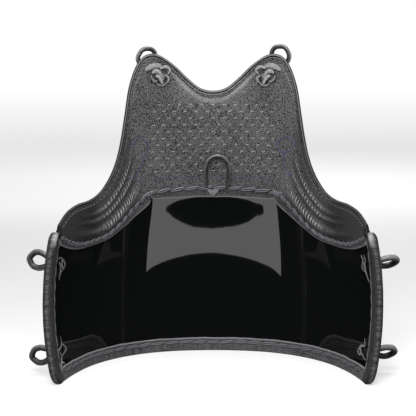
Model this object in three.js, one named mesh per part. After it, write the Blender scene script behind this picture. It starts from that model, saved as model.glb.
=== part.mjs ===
import * as THREE from 'three';

// A kendo breastplate that stands on its bottom edge: a curved rigid shell with leather rims, a padded
// leather chest panel laced to its top edge, and leather loops for the cords that hold it on.
// Millimetres. X runs across the chest, +Y from the wearer to the front, +Z up.

// Plan of the shell's inner face: three arcs that meet without a corner, from the middle to each side edge
const frontRadius = 300;
const frontArcEnd = 11;
const flankRadius = 168;
const flankArcEnd = 64;
const sideRadius = 300;
const shellHalfArc = 297;

// Barrel shape: the shell is widest at one height, and the chest panel leans back over the wearer
const widestHeight = 100;
const barrelRadius = 480;
const leanStartHeight = 220;
const leanEndHeight = 420;
const leanEndSlope = 0.08;

// Shell
const shellWall = 4;
const cornerRadius = 9;
const sideTopHeight = 201;
const clearance = 0.3;
const seamGap = 0.4;

// Chest panel and its edge roll
const tipHeight = 429;
const panelProud = 2.3;
const edgeHalfThickness = 2.2;
const edgeTaperWidth = 11;
const pipingRadius = 2.2;

// Rims: leather folded over the edge, plain along the bottom and padded to a roll along the sides
const leather = 2;
const bottomThickness = 3.5;
const bottomLeg = 14.5;
const bottomEdgeRadius = 2.2;
const rollReach = 9.4;
const rollPadInside = 4;
const rollPadOutside = 4.4;
const rollFlat = 4;
const rollEndTurn = 55;
const sideLeg = 12;
const legFillet = 3;
const legNarrowHeight = 180;

// Lacing, a flat leather thong
const laceWidth = 5;
const laceThickness = 1.4;
const bottomLaceHeight = 12.5;

// Loops and knots
const topCordRadius = 3.2;
const topLoopLengthLeft = 38;
const topLoopLengthRight = 42;
const topLoopHalfWidth = 12.8;
const sideCordRadius = 3.7;
const sideLoopLength = 45;
const sideLoopHalfWidth = 10.3;
const knotRadius = 9.5;
const knotHeight = 7;
const centreCordRadius = 2.7;
const centreLoopRadius = 17;
const centreLoopHeight = 43;
const centreLoopOffset = 6.7;
const tabWidth = 19;
const tabLength = 10;
const tabThickness = 1.3;

const radians = Math.PI / 180;
const mix = THREE.MathUtils.lerp;
const smooth = THREE.MathUtils.smoothstep;

// Sections of the chest panel from the middle of the neckline to the wing's end. Along is a share of
// shellHalfArc and height a share of tipHeight; low is on the laced joint, top on the outline of the panel.
const panelSections = [
  { lowAlong: 0, lowHeight: 0.56, topAlong: 0, topHeight: 0.881 },
  { lowAlong: 0.084, lowHeight: 0.559, topAlong: 0.067, topHeight: 0.89 },
  { lowAlong: 0.162, lowHeight: 0.556, topAlong: 0.131, topHeight: 0.921 },
  { lowAlong: 0.236, lowHeight: 0.553, topAlong: 0.195, topHeight: 0.958 },
  { lowAlong: 0.279, lowHeight: 0.551, topAlong: 0.26, topHeight: 0.985 },
  { lowAlong: 0.303, lowHeight: 0.549, topAlong: 0.309, topHeight: 0.998 },
  { lowAlong: 0.318, lowHeight: 0.546, topAlong: 0.354, topHeight: 1 },
  { lowAlong: 0.33, lowHeight: 0.543, topAlong: 0.399, topHeight: 0.991 },
  { lowAlong: 0.34, lowHeight: 0.538, topAlong: 0.439, topHeight: 0.967 },
  { lowAlong: 0.351, lowHeight: 0.532, topAlong: 0.471, topHeight: 0.928 },
  { lowAlong: 0.362, lowHeight: 0.525, topAlong: 0.492, topHeight: 0.881 },
  { lowAlong: 0.377, lowHeight: 0.514, topAlong: 0.504, topHeight: 0.811 },
  { lowAlong: 0.398, lowHeight: 0.499, topAlong: 0.514, topHeight: 0.739 },
  { lowAlong: 0.421, lowHeight: 0.482, topAlong: 0.525, topHeight: 0.685 },
  { lowAlong: 0.451, lowHeight: 0.46, topAlong: 0.542, topHeight: 0.641 },
  { lowAlong: 0.492, lowHeight: 0.436, topAlong: 0.572, topHeight: 0.599 },
  { lowAlong: 0.539, lowHeight: 0.418, topAlong: 0.62, topHeight: 0.562 },
  { lowAlong: 0.606, lowHeight: 0.408, topAlong: 0.687, topHeight: 0.5445 },
  { lowAlong: 0.698, lowHeight: 0.4045, topAlong: 0.792, topHeight: 0.5395 },
  { lowAlong: 0.795, lowHeight: 0.4155, topAlong: 0.887, topHeight: 0.5255 },
  { lowAlong: 0.929, lowHeight: 0.4475, topAlong: 0.963, topHeight: 0.494 },
];

// Raised ribs of the wings, from the armhole inwards. Across goes from 0 on the joint to 1 on the outline,
// section from 0 in the middle to 1 at the wing's end, height is in millimetres.
const wingRibs = [
  { across: 0.6, acrossEnd: 0.7, halfWidth: 0.08, height: 2.4, section: 0.52, sectionEnd: 0.9 },
  { across: 0.37, acrossEnd: 0.53, halfWidth: 0.08, height: 2.4, section: 0.5, sectionEnd: 0.95 },
  { across: 0.14, acrossEnd: 0.22, halfWidth: 0.13, height: 3.2, section: 0.42, sectionEnd: 0.97 },
];
const ribFade = 0.1;

// Width of the seam strip below the joint: section as above, width a share of stripWidth
const stripWidth = 14.5;
const stripWidths = [
  { section: 0, width: 1 },
  { section: 0.1, width: 0.91 },
  { section: 0.3, width: 0.69 },
  { section: 0.45, width: 0.6 },
  { section: 0.6, width: 0.44 },
  { section: 0.75, width: 0.35 },
  { section: 0.88, width: 0.34 },
  { section: 1, width: 0.6 },
];
const stripSplit = 0.3;
const splitGap = 0.02;

// Where the loops are fastened. Each side loop is turned about its own axis, and rises from its root or hangs
// down, both in degrees.
const topLoopPlace = { along: 92.8, height: tipHeight - 24.7, leanAside: 11.8, leanUp: 20 };
const sideLoopPlaces = [
  {
    name: 'upper',
    along: shellHalfArc - 35,
    height: sideTopHeight - 46,
    left: { turn: 8, rise: 0 },
    right: { turn: 48, rise: -5 },
  },
  {
    name: 'lower',
    along: shellHalfArc - 33,
    height: 36,
    left: { turn: -5, rise: -8 },
    right: { turn: 42, rise: 2 },
  },
];

// Fineness of the meshes
const longestColumn = 17;
const cornerSteps = 6;
const rimCornerSteps = 9;
const panelRows = [0, 0.07, 0.15, 0.22, 0.3, 0.38, 0.46, 0.53, 0.61, 0.68, 0.78, 0.92, 1];
const rimArcSteps = 3;
const loopSteps = 18;
const cordSides = 6;
const knotSides = 10;
const shellRows = 10;

function planPoint(along) {
  const distance = Math.abs(along);
  const frontTurn = frontArcEnd * radians;
  const flankTurn = flankArcEnd * radians;
  const frontLength = frontRadius * frontTurn;
  const flankLength = flankRadius * (flankTurn - frontTurn);
  const arcs = [
    { radius: frontRadius, from: 0, length: frontLength },
    { radius: flankRadius, from: frontTurn, length: flankLength },
    { radius: sideRadius, from: flankTurn, length: Infinity },
  ];
  let left = distance;
  let x = 0;
  let y = 0;
  let turn = 0;
  for (const arc of arcs) {
    const step = Math.min(left, arc.length);
    turn = arc.from + step / arc.radius;
    x += arc.radius * (Math.sin(turn) - Math.sin(arc.from));
    y -= arc.radius * (Math.cos(arc.from) - Math.cos(turn));
    left -= step;
    if (left <= 0) break;
  }
  const side = along < 0 ? -1 : 1;
  return { x: side * x, y, turn: side * turn };
}

function bulgeAt(height) {
  const barrel = (z) => -((z - widestHeight) ** 2) / (2 * barrelRadius);
  if (height <= leanStartHeight) return barrel(height) - barrel(0);
  const startSlope = -(leanStartHeight - widestHeight) / barrelRadius;
  const above = height - leanStartHeight;
  const easing = (startSlope + leanEndSlope) / (2 * (leanEndHeight - leanStartHeight));
  return barrel(leanStartHeight) - barrel(0) + startSlope * above - easing * above ** 2;
}

// A point of the breastplate's form: along its girth, at a height, and offset outwards from the shell's
// inner face
function surfacePoint(along, height, offset) {
  const plan = planPoint(along);
  const out = bulgeAt(height) + offset;
  return new THREE.Vector3(plan.x + Math.sin(plan.turn) * out, plan.y + Math.cos(plan.turn) * out, height);
}

function surfaceFrame(along, height, offset) {
  const turn = planPoint(along).turn;
  const outward = new THREE.Vector3(Math.sin(turn), Math.cos(turn), 0);
  const sideways = new THREE.Vector3(Math.cos(turn), -Math.sin(turn), 0);
  const slope = bulgeAt(height + 1) - bulgeAt(height - 1);
  const upward = outward.clone().multiplyScalar(slope / 2).add(new THREE.Vector3(0, 0, 1)).normalize();
  const normal = new THREE.Vector3().crossVectors(upward, sideways).normalize();
  if (normal.dot(outward) < 0) normal.negate();
  return { point: surfacePoint(along, height, offset), sideways, upward, normal };
}

// The two border curves of the panel as splines through the table, in lengths along and up
const mirroredRows = (pick) => {
  const half = panelSections.map(pick);
  const other = half.slice(1).reverse().map((p) => new THREE.Vector2(-p.x, p.y));
  return new THREE.SplineCurve([...other, ...half]);
};
const jointCurve = mirroredRows((row) => new THREE.Vector2(
  row.lowAlong * shellHalfArc,
  row.lowHeight * tipHeight,
));
const outlineCurve = mirroredRows((row) => new THREE.Vector2(
  row.topAlong * shellHalfArc,
  row.topHeight * tipHeight,
));

// Section runs from -1 at the left wing's end to 1 at the right one's
const curvePoint = (curve, section) => curve.getPoint((section + 1) / 2);

function curveInward(curve, section) {
  const step = 0.002;
  const before = curvePoint(curve, Math.max(-1, section - step));
  const after = curvePoint(curve, Math.min(1, section + step));
  const run = after.sub(before).normalize();
  return new THREE.Vector2(run.y, -run.x);
}

const insetPoint = (curve, section, distance) =>
  curvePoint(curve, section).addScaledVector(curveInward(curve, section), distance);

function buildGeometry(points, triangles) {
  let volume = 0;
  for (const [a, b, c] of triangles) {
    volume += points[a].dot(new THREE.Vector3().crossVectors(points[b], points[c]));
  }
  const order = volume < 0 ? ([a, b, c]) => [a, c, b] : (corners) => corners;
  const geometry = new THREE.BufferGeometry().setFromPoints(points);
  geometry.setIndex(triangles.flatMap(order));
  geometry.computeVertexNormals();
  return geometry;
}

// A wall between two grids of points, closed round its border
function wallGeometry(columns, rows, innerPoint, outerPoint) {
  const points = [];
  const triangles = [];
  const faceSize = (columns + 1) * (rows + 1);
  for (const place of [innerPoint, outerPoint]) {
    for (let i = 0; i <= columns; i += 1) {
      for (let j = 0; j <= rows; j += 1) points.push(place(i, j));
    }
  }
  const index = (i, j, face) => face * faceSize + i * (rows + 1) + j;
  const quad = (a, b, c, d) => triangles.push([a, b, c], [a, c, d]);
  for (let i = 0; i < columns; i += 1) {
    for (let j = 0; j < rows; j += 1) {
      quad(index(i, j, 0), index(i + 1, j, 0), index(i + 1, j + 1, 0), index(i, j + 1, 0));
      quad(index(i, j, 1), index(i, j + 1, 1), index(i + 1, j + 1, 1), index(i + 1, j, 1));
    }
    quad(index(i, 0, 0), index(i, 0, 1), index(i + 1, 0, 1), index(i + 1, 0, 0));
    quad(index(i, rows, 0), index(i + 1, rows, 0), index(i + 1, rows, 1), index(i, rows, 1));
  }
  for (let j = 0; j < rows; j += 1) {
    quad(index(0, j, 0), index(0, j + 1, 0), index(0, j + 1, 1), index(0, j, 1));
    quad(index(columns, j, 0), index(columns, j, 1), index(columns, j + 1, 1), index(columns, j + 1, 0));
  }
  return buildGeometry(points, triangles);
}

// A bar through a row of sections that all have the same number of corners, with both ends closed by the
// same triangles between those corners
function barGeometry(sections, place, capTriangles = fanTriangles(0, 1, sections[0].length - 1)) {
  const corners = sections[0].length;
  const points = sections.flatMap((section, k) => section.map((corner) => place(corner, k)));
  const triangles = [];
  for (let k = 0; k < sections.length - 1; k += 1) {
    for (let c = 0; c < corners; c += 1) {
      const next = (c + 1) % corners;
      const a = k * corners + c;
      const b = k * corners + next;
      triangles.push([a, b, b + corners], [a, b + corners, a + corners]);
    }
  }
  const last = (sections.length - 1) * corners;
  for (const [a, b, c] of capTriangles) triangles.push([a, c, b], [last + a, last + b, last + c]);
  return buildGeometry(points, triangles);
}

function fanTriangles(hub, from, to) {
  return Array.from({ length: to - from }, (_, k) => [hub, from + k, from + k + 1]);
}

// Sections at which panel, shell and rims share their columns, so that their faces keep their gaps: the
// rows of the table, with long steps split
function halfSections() {
  const sections = [];
  const last = panelSections.length - 1;
  for (let row = 0; row < last; row += 1) {
    const step = (panelSections[row + 1].lowAlong - panelSections[row].lowAlong) * shellHalfArc;
    const parts = Math.ceil(step / longestColumn);
    for (let part = 0; part < parts; part += 1) sections.push((row + part / parts) / last);
  }
  return [...sections, 1];
}
const rightSections = halfSections();
const sharedSections = [...rightSections.slice(1).reverse().map((section) => -section), ...rightSections];

function ribHeight(section, across) {
  const distance = Math.abs(section);
  return wingRibs.reduce((height, rib) => {
    const progress = (distance - rib.section) / (rib.sectionEnd - rib.section);
    if (progress <= 0 || progress >= 1) return height;
    const centre = mix(rib.across, rib.acrossEnd, progress);
    const near = Math.abs(across - centre) / rib.halfWidth;
    if (near >= 1) return height;
    const fade = smooth(distance, rib.section, rib.section + ribFade)
      * (1 - smooth(distance, rib.sectionEnd - ribFade, rib.sectionEnd));
    return height + rib.height * fade * Math.cos(near * Math.PI / 2) ** 2;
  }, 0);
}

function panelPoint(section, across) {
  const low = curvePoint(jointCurve, section);
  const top = insetPoint(outlineCurve, section, 2 * pipingRadius + clearance);
  const width = low.distanceTo(top);
  const fromEdge = (1 - across) * width;
  const taper = Math.sqrt(1 - (1 - Math.min(1, fromEdge / edgeTaperWidth)) ** 2);
  const half = mix(edgeHalfThickness, shellWall / 2 + panelProud, taper);
  return { place: low.lerp(top, across), half, rib: ribHeight(section, across) };
}

function chestPanel() {
  const face = (side) => (i, j) => {
    const { place, half, rib } = panelPoint(sharedSections[i], panelRows[j]);
    const offset = side < 0 ? shellWall / 2 - half - rib : shellWall / 2 + half;
    return surfacePoint(place.x, place.y, offset);
  };
  return wallGeometry(sharedSections.length - 1, panelRows.length - 1, face(-1), face(1));
}

// The shell's side edges run between two rounded corners of the same radius
const cornerStart = shellHalfArc - cornerRadius;
const lowCornerHeight = bottomThickness + cornerRadius;
const highCornerHeight = sideTopHeight - cornerRadius;

// How far a rounded corner draws the shell's edge in from its full height
function cornerDraw(along) {
  const past = Math.max(0, Math.abs(along) - cornerStart);
  return cornerRadius - Math.sqrt(Math.max(0, cornerRadius ** 2 - past ** 2));
}

// The shell's columns on one side: those of the joint and those of the rounded corners, each with the height
// of the shell's top edge there
function halfColumns() {
  const joint = rightSections.map((section) => curvePoint(jointCurve, section));
  const corner = Array.from({ length: cornerSteps + 1 }, (_, k) => {
    const along = cornerStart + cornerRadius * Math.sin(k / cornerSteps * Math.PI / 2);
    return new THREE.Vector2(along, sideTopHeight - cornerDraw(along));
  });
  return [...joint, ...corner];
}
const rightColumns = halfColumns();
const leftColumns = rightColumns.slice(1).reverse().map((p) => new THREE.Vector2(-p.x, p.y));
const shellColumns = [...leftColumns, ...rightColumns];
const girthWithin = (limit) => shellColumns.map((column) => column.x).filter((along) => Math.abs(along) < limit);

function shell() {
  const face = (offset) => (i, j) => {
    const column = shellColumns[i];
    const height = mix(bottomThickness + cornerDraw(column.x), column.y - seamGap, j / shellRows);
    return surfacePoint(column.x, height, offset);
  };
  return wallGeometry(shellColumns.length - 1, shellRows, face(0), face(shellWall));
}

function chestPiping() {
  const sides = 6;
  const sections = sharedSections.map((section) => {
    const centre = insetPoint(outlineCurve, section, pipingRadius);
    const inward = curveInward(outlineCurve, section);
    const ring = [];
    for (let c = 0; c < sides; c += 1) {
      const turn = (c + 0.5) * 2 * Math.PI / sides;
      const spot = new THREE.Vector2(Math.cos(turn), Math.sin(turn)).multiplyScalar(pipingRadius);
      spot.place = centre.clone().addScaledVector(inward, spot.x);
      ring.push(spot);
    }
    return ring;
  });
  return barGeometry(sections, (spot) => surfacePoint(spot.place.x, spot.place.y, shellWall / 2 + spot.y));
}

// Section of a rim: x runs outwards past the shell's edge, y is the offset from its inner face. Its two legs
// lie flat on the shell, and the roll between them may stand proud of both.
function rimSection(shape) {
  const outer = shellWall + shape.padOutside;
  const legEnd = shape.reach - shape.edgeRadius - shape.flat;
  const section = [
    new THREE.Vector2(-shape.leg, -clearance),
    new THREE.Vector2(clearance, -clearance),
    new THREE.Vector2(clearance, shellWall + clearance),
    new THREE.Vector2(-shape.leg, shellWall + clearance),
    new THREE.Vector2(-shape.leg, shellWall + clearance + leather),
    new THREE.Vector2(legEnd, shellWall + clearance + leather),
  ];
  for (const [centreY, start] of [[outer - shape.edgeRadius, 90], [shape.edgeRadius - shape.padInside, 0]]) {
    for (let c = 0; c <= rimArcSteps; c += 1) {
      const turn = (start - 90 * c / rimArcSteps) * radians;
      section.push(new THREE.Vector2(
        shape.reach - shape.edgeRadius + shape.edgeRadius * Math.cos(turn),
        centreY + shape.edgeRadius * Math.sin(turn),
      ));
    }
  }
  section.push(
    new THREE.Vector2(legEnd, -clearance - leather),
    new THREE.Vector2(-shape.leg, -clearance - leather),
  );
  return section;
}

// The four slot corners come first, then the outside from leg to leg
const firstArcEnd = 6 + rimArcSteps;
const secondArcEnd = firstArcEnd + 1 + rimArcSteps;
const rimCap = [
  [3, 4, 5],
  [3, 5, 2],
  ...fanTriangles(2, 5, firstArcEnd),
  [2, firstArcEnd, firstArcEnd + 1],
  [2, firstArcEnd + 1, 1],
  ...fanTriangles(1, firstArcEnd + 1, secondArcEnd + 1),
  [1, secondArcEnd + 1, secondArcEnd + 2],
  [1, secondArcEnd + 2, 0],
];

const bottomShape = {
  leg: bottomLeg,
  reach: bottomThickness,
  edgeRadius: bottomEdgeRadius,
  flat: 2,
  padInside: leather + clearance,
  padOutside: leather + clearance,
};
const sideShape = {
  leg: sideLeg,
  reach: rollReach,
  edgeRadius: (shellWall + rollPadInside + rollPadOutside) / 2 - clearance,
  flat: rollFlat,
  padInside: rollPadInside,
  padOutside: rollPadOutside,
};
const blendShape = (from, to, share) => Object.fromEntries(
  Object.keys(from).map((key) => [key, mix(from[key], to[key], share)]),
);

// The legs of a bottom corner meet in a small fillet about this middle
const fillet = new THREE.Vector2(
  shellHalfArc - sideLeg - legFillet,
  bottomThickness + bottomLeg + legFillet,
);

function rimBottom() {
  const end = fillet.x - clearance;
  const stations = [-end, ...girthWithin(end - 1), end];
  const section = rimSection(bottomShape);
  return barGeometry(
    stations.map(() => section),
    (corner, k) => surfacePoint(stations[k], bottomThickness - corner.x, corner.y),
    rimCap,
  );
}

// Distance from the fillet's middle to the shell's edge, looking outwards
function reachFromFillet(outward) {
  const down = (fillet.y - bottomThickness) / Math.max(1e-6, -outward.y);
  if (fillet.x + outward.x * down <= cornerStart) return down;
  const aside = (shellHalfArc - fillet.x) / Math.max(1e-6, outward.x);
  if (fillet.y + outward.y * aside >= lowCornerHeight) return aside;
  const back = fillet.clone().sub(new THREE.Vector2(cornerStart, lowCornerHeight));
  const half = back.dot(outward);
  return Math.sqrt(half ** 2 - back.lengthSq() + cornerRadius ** 2) - half;
}

// One side rim: round the bottom corner, up the side edge, and closed in like a thumb on the top corner
function rimSide(side) {
  const stations = [];
  for (let k = 0; k <= rimCornerSteps; k += 1) {
    const turn = mix(-90, 0, k / rimCornerSteps) * radians;
    const outward = new THREE.Vector2(Math.cos(turn), Math.sin(turn));
    const reach = reachFromFillet(outward);
    const shape = blendShape(bottomShape, sideShape, smooth(k / rimCornerSteps, 0, 1));
    shape.leg = reach - legFillet;
    stations.push({ edge: fillet.clone().addScaledVector(outward, reach), outward, shape });
  }
  const legAt = (height) => sideLeg * (1 - 0.4 * smooth(height, legNarrowHeight, highCornerHeight));
  for (const share of [0.14, 0.28, 0.42, 0.56, 0.7, 0.82, 0.92, 1]) {
    const height = mix(fillet.y, highCornerHeight, share);
    stations.push({
      edge: new THREE.Vector2(shellHalfArc, height),
      outward: new THREE.Vector2(1, 0),
      shape: { ...sideShape, leg: legAt(height) },
    });
  }
  const lip = leather + clearance;
  const closedShape = {
    leg: leather,
    reach: lip,
    edgeRadius: lip,
    flat: 0.5,
    padInside: lip,
    padOutside: lip,
  };
  for (const share of [0.25, 0.5, 0.75, 0.9, 1]) {
    const turn = rollEndTurn * share * radians;
    const outward = new THREE.Vector2(Math.cos(turn), Math.sin(turn));
    const round = 1 - Math.sqrt(1 - (0.97 * share) ** 2);
    stations.push({
      edge: new THREE.Vector2(cornerStart, highCornerHeight).addScaledVector(outward, cornerRadius),
      outward,
      shape: blendShape({ ...sideShape, leg: legAt(highCornerHeight) }, closedShape, round),
    });
  }
  const sections = stations.map((station) => rimSection(station.shape));
  return barGeometry(sections, (corner, k) => {
    const { edge, outward } = stations[k];
    const place = edge.clone().addScaledVector(outward, corner.x);
    return surfacePoint(side * place.x, Math.max(0, place.y), corner.y);
  }, rimCap);
}

function stripWidthAt(section) {
  const distance = Math.abs(section);
  const next = Math.max(1, stripWidths.findIndex((row) => row.section >= distance));
  const from = stripWidths[next - 1];
  const to = stripWidths[next];
  return stripWidth * mix(from.width, to.width, (distance - from.section) / (to.section - from.section));
}

// Flat leather on the shell's inner face, just below the joint
function seamStrip(sections) {
  const face = (offset) => (i, j) => {
    const section = sections[i];
    const below = seamGap + (stripWidthAt(section) - seamGap) * j;
    const place = insetPoint(jointCurve, section, below);
    return surfacePoint(place.x, place.y, offset);
  };
  return wallGeometry(sections.length - 1, 1, face(-clearance - leather), face(-clearance));
}

// Flat thong along a row of places, lying on the leather at the given offset
function laceGeometry(places, offset) {
  const sections = places.map((place, k) => {
    const before = places[Math.max(0, k - 1)];
    const after = places[Math.min(places.length - 1, k + 1)];
    const run = after.clone().sub(before).normalize();
    const aside = new THREE.Vector2(run.y, -run.x);
    const corners = [[-0.5, 0], [-0.35, -1], [0.35, -1], [0.5, 0]];
    return corners.map(([across, rise]) => {
      const spot = new THREE.Vector2(across * laceWidth, rise * laceThickness);
      spot.place = place.clone().addScaledVector(aside, spot.x);
      return spot;
    });
  });
  return barGeometry(sections, (spot) => surfacePoint(spot.place.x, spot.place.y, offset + spot.y));
}

const leatherFace = -2 * clearance - leather;

function seamLace(sections) {
  return laceGeometry(sections.map((section) => curvePoint(jointCurve, section)), leatherFace - clearance);
}

function bottomLace() {
  const places = girthWithin(fillet.x).map((along) => new THREE.Vector2(along, bottomLaceHeight));
  return laceGeometry(places, leatherFace);
}

function sideLace(side) {
  const along = side * (shellHalfArc - sideLeg + laceWidth / 2);
  const from = new THREE.Vector2(along, fillet.y);
  const to = new THREE.Vector2(along, legNarrowHeight);
  const steps = 9;
  const places = Array.from({ length: steps + 1 }, (_, k) => from.clone().lerp(to, k / steps));
  return laceGeometry(places, leatherFace);
}

const circle = (radius) => new THREE.Shape().absarc(0, 0, radius, 0, 2 * Math.PI, false);

function cordGeometry(points, radius, steps) {
  const path = new THREE.CatmullRomCurve3(points, false, 'centripetal');
  return new THREE.ExtrudeGeometry(circle(radius), {
    steps,
    curveSegments: cordSides / 2,
    extrudePath: path,
    bevelEnabled: false,
  });
}

// Half of a loop's route: out is a share of its length, aside a share of its half width past the neck
const loopRoute = [
  { out: 0, aside: 0 },
  { out: 0.2, aside: 0.06 },
  { out: 0.42, aside: 0.5 },
  { out: 0.62, aside: 1 },
  { out: 0.82, aside: 0.86 },
  { out: 0.95, aside: 0.45 },
  { out: 1, aside: 0 },
];

function loopGeometry(base, outward, aside, length, halfWidth, radius) {
  const neck = radius + clearance;
  const reach = length - radius;
  const place = (out, sideways) => base.clone()
    .addScaledVector(outward, out * reach)
    .addScaledVector(aside, sideways);
  const half = loopRoute.slice(0, -1).map((row) => ({
    out: row.out,
    sideways: row.out > 0.9 ? halfWidth * row.aside : mix(neck, halfWidth, row.aside),
  }));
  const route = [
    ...half.map((row) => place(row.out, -row.sideways)),
    place(1, 0),
    ...half.reverse().map((row) => place(row.out, row.sideways)),
  ];
  return cordGeometry(route, radius, loopSteps);
}

function topLoop(side) {
  const { along, height, leanAside, leanUp } = topLoopPlace;
  const offset = shellWall + panelProud + clearance + topCordRadius;
  const frame = surfaceFrame(side * along, height, offset);
  const outward = frame.sideways.clone().multiplyScalar(side * leanAside)
    .addScaledVector(frame.upward, leanUp).normalize();
  const aside = new THREE.Vector3().crossVectors(frame.normal, outward);
  const length = side < 0 ? topLoopLengthLeft : topLoopLengthRight;
  return loopGeometry(frame.point, outward, aside, length, topLoopHalfWidth, topCordRadius);
}

function sideLoop(side, place) {
  const lie = side < 0 ? place.left : place.right;
  const turn = lie.turn * radians;
  const rise = lie.rise * radians;
  const stand = 2 * clearance + 1.3 * sideCordRadius * Math.abs(Math.sin(rise));
  const frame = surfaceFrame(side * place.along, place.height, shellWall + stand);
  const outward = frame.normal.clone().multiplyScalar(Math.cos(rise))
    .addScaledVector(frame.upward, Math.sin(rise));
  const upward = frame.upward.clone().multiplyScalar(Math.cos(rise))
    .addScaledVector(frame.normal, -Math.sin(rise));
  const aside = upward.multiplyScalar(Math.cos(turn)).addScaledVector(frame.sideways, Math.sin(turn));
  return loopGeometry(frame.point, outward, aside, sideLoopLength, sideLoopHalfWidth, sideCordRadius);
}

// A leather knot on the inside: a low ring with a button in its middle. Both columns are shares, of
// knotRadius and knotHeight.
const knotProfile = [
  { out: 0, up: 0 },
  { out: 0.85, up: 0 },
  { out: 1, up: 0.35 },
  { out: 0.82, up: 0.7 },
  { out: 0.56, up: 0.5 },
  { out: 0.36, up: 1 },
  { out: 0, up: 1 },
];

function knotMesh(along, height, faceOffset) {
  const profile = knotProfile.map((row) => new THREE.Vector2(row.out * knotRadius, row.up * knotHeight));
  const sagitta = knotRadius ** 2 / (2 * flankRadius);
  const frame = surfaceFrame(along, height, faceOffset - clearance - sagitta);
  const geometry = new THREE.LatheGeometry(profile, knotSides);
  const inward = frame.normal.clone().negate();
  geometry.applyQuaternion(new THREE.Quaternion().setFromUnitVectors(new THREE.Vector3(0, 1, 0), inward));
  geometry.translate(frame.point.x, frame.point.y, frame.point.z);
  return geometry;
}

// The cord loop in the middle, standing up against the panel from the lacing
function centreLoop() {
  const foot = jointCurve.getPoint(0.5).y + laceWidth / 2 + clearance;
  const offset = -panelProud - clearance - centreCordRadius;
  const place = (along, height) => surfacePoint(centreLoopOffset + along, height, offset);
  const springing = foot + centreLoopHeight - centreLoopRadius;
  const points = [
    place(-centreLoopRadius, foot),
    place(-centreLoopRadius * 1.04, mix(foot, springing, 0.5)),
    place(-centreLoopRadius, springing),
  ];
  for (const turn of [-60, -30, 0, 30, 60]) {
    const arc = turn * radians;
    points.push(place(centreLoopRadius * Math.sin(arc), springing + centreLoopRadius * Math.cos(arc)));
  }
  points.push(
    place(centreLoopRadius, springing),
    place(centreLoopRadius * 1.02, mix(foot, springing, 0.5)),
    place(centreLoopRadius * 0.9, foot),
  );
  return cordGeometry(points, centreCordRadius, loopSteps);
}

function centreTab() {
  const top = jointCurve.getPoint(0.5).y - laceWidth / 2 - clearance;
  const face = (offset) => (i, j) => {
    const half = tabWidth / 2 * (1 - 0.75 * j / 2);
    return surfacePoint(centreLoopOffset + mix(-half, half, i / 2), top - tabLength * j / 2, offset);
  };
  const outer = leatherFace;
  return wallGeometry(2, 2, face(outer - tabThickness), face(outer));
}

const lacquer = { color: 0x0b0c0d, roughness: 0.12, metalness: 0 };
const softLeather = { color: 0x3a3a3c, roughness: 0.6, metalness: 0 };
const rimLeather = { color: 0x2c2d2e, roughness: 0.55, metalness: 0 };
const cordLeather = { color: 0x1c1c1d, roughness: 0.5, metalness: 0 };

const breastplate = new THREE.Group();

function add(name, geometry, look) {
  const mesh = new THREE.Mesh(geometry, new THREE.MeshStandardMaterial(look));
  mesh.name = name;
  breastplate.add(mesh);
}

add('shell', shell(), lacquer);
add('chest_panel', chestPanel(), softLeather);
add('chest_piping', chestPiping(), rimLeather);
add('rim_bottom', rimBottom(), rimLeather);
const centreSections = sharedSections.filter((section) => Math.abs(section) <= stripSplit);
add('seam_strip_centre', seamStrip(centreSections), softLeather);
add('lace_centre', seamLace(centreSections), cordLeather);
add('lace_bottom', bottomLace(), cordLeather);
add('centre_loop', centreLoop(), cordLeather);
add('centre_tab', centreTab(), cordLeather);
const wingStart = stripSplit + splitGap;
for (const [word, side] of [['left', -1], ['right', 1]]) {
  const wingSections = [wingStart, ...rightSections.filter((section) => section > wingStart)]
    .map((section) => side * section);
  add(`rim_${word}`, rimSide(side), rimLeather);
  add(`seam_strip_${word}`, seamStrip(wingSections), softLeather);
  add(`lace_${word}`, seamLace(wingSections), cordLeather);
  add(`lace_side_${word}`, sideLace(side), cordLeather);
  add(`loop_top_${word}`, topLoop(side), cordLeather);
  add(`knot_top_${word}`, knotMesh(side * topLoopPlace.along, topLoopPlace.height, -panelProud), cordLeather);
  for (const place of sideLoopPlaces) {
    add(`loop_${place.name}_${word}`, sideLoop(side, place), cordLeather);
    add(`knot_${place.name}_${word}`, knotMesh(side * place.along, place.height, 0), cordLeather);
  }
}

// The origin is at the middle of the breastplate's footprint, on the surface that it stands on
const bounds = new THREE.Box3().setFromObject(breastplate, true);
const middle = bounds.getCenter(new THREE.Vector3());
breastplate.position.set(-middle.x, -middle.y, -bounds.min.z);
breastplate.updateMatrixWorld(true);

export default breastplate;
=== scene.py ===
# Kendo breastplate seen from the wearer's side, standing on its bottom rim: a curved lacquered shell with
# leather rims, a padded leather chest panel laced to it, and leather loops for the cords.
# The frame is in metres, and the sizes in the dictionaries are in millimetres.
import math

import bpy
import numpy as np
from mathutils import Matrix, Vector


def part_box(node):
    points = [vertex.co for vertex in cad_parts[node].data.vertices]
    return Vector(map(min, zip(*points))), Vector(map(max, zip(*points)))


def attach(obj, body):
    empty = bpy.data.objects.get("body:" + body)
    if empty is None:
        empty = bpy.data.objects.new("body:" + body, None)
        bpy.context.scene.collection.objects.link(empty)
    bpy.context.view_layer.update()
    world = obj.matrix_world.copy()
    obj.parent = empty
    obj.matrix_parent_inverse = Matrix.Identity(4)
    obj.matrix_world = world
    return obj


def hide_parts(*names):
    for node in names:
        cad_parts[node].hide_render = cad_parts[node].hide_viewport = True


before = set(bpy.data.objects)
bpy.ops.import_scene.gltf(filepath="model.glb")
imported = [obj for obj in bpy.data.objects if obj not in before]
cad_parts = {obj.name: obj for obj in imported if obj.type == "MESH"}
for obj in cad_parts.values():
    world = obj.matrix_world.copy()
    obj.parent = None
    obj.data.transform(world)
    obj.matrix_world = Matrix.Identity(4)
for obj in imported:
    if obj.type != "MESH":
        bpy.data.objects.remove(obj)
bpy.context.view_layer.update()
scene = bpy.context.scene
mm = 0.001
print("frame loaded:", len(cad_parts), "nodes")


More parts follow.
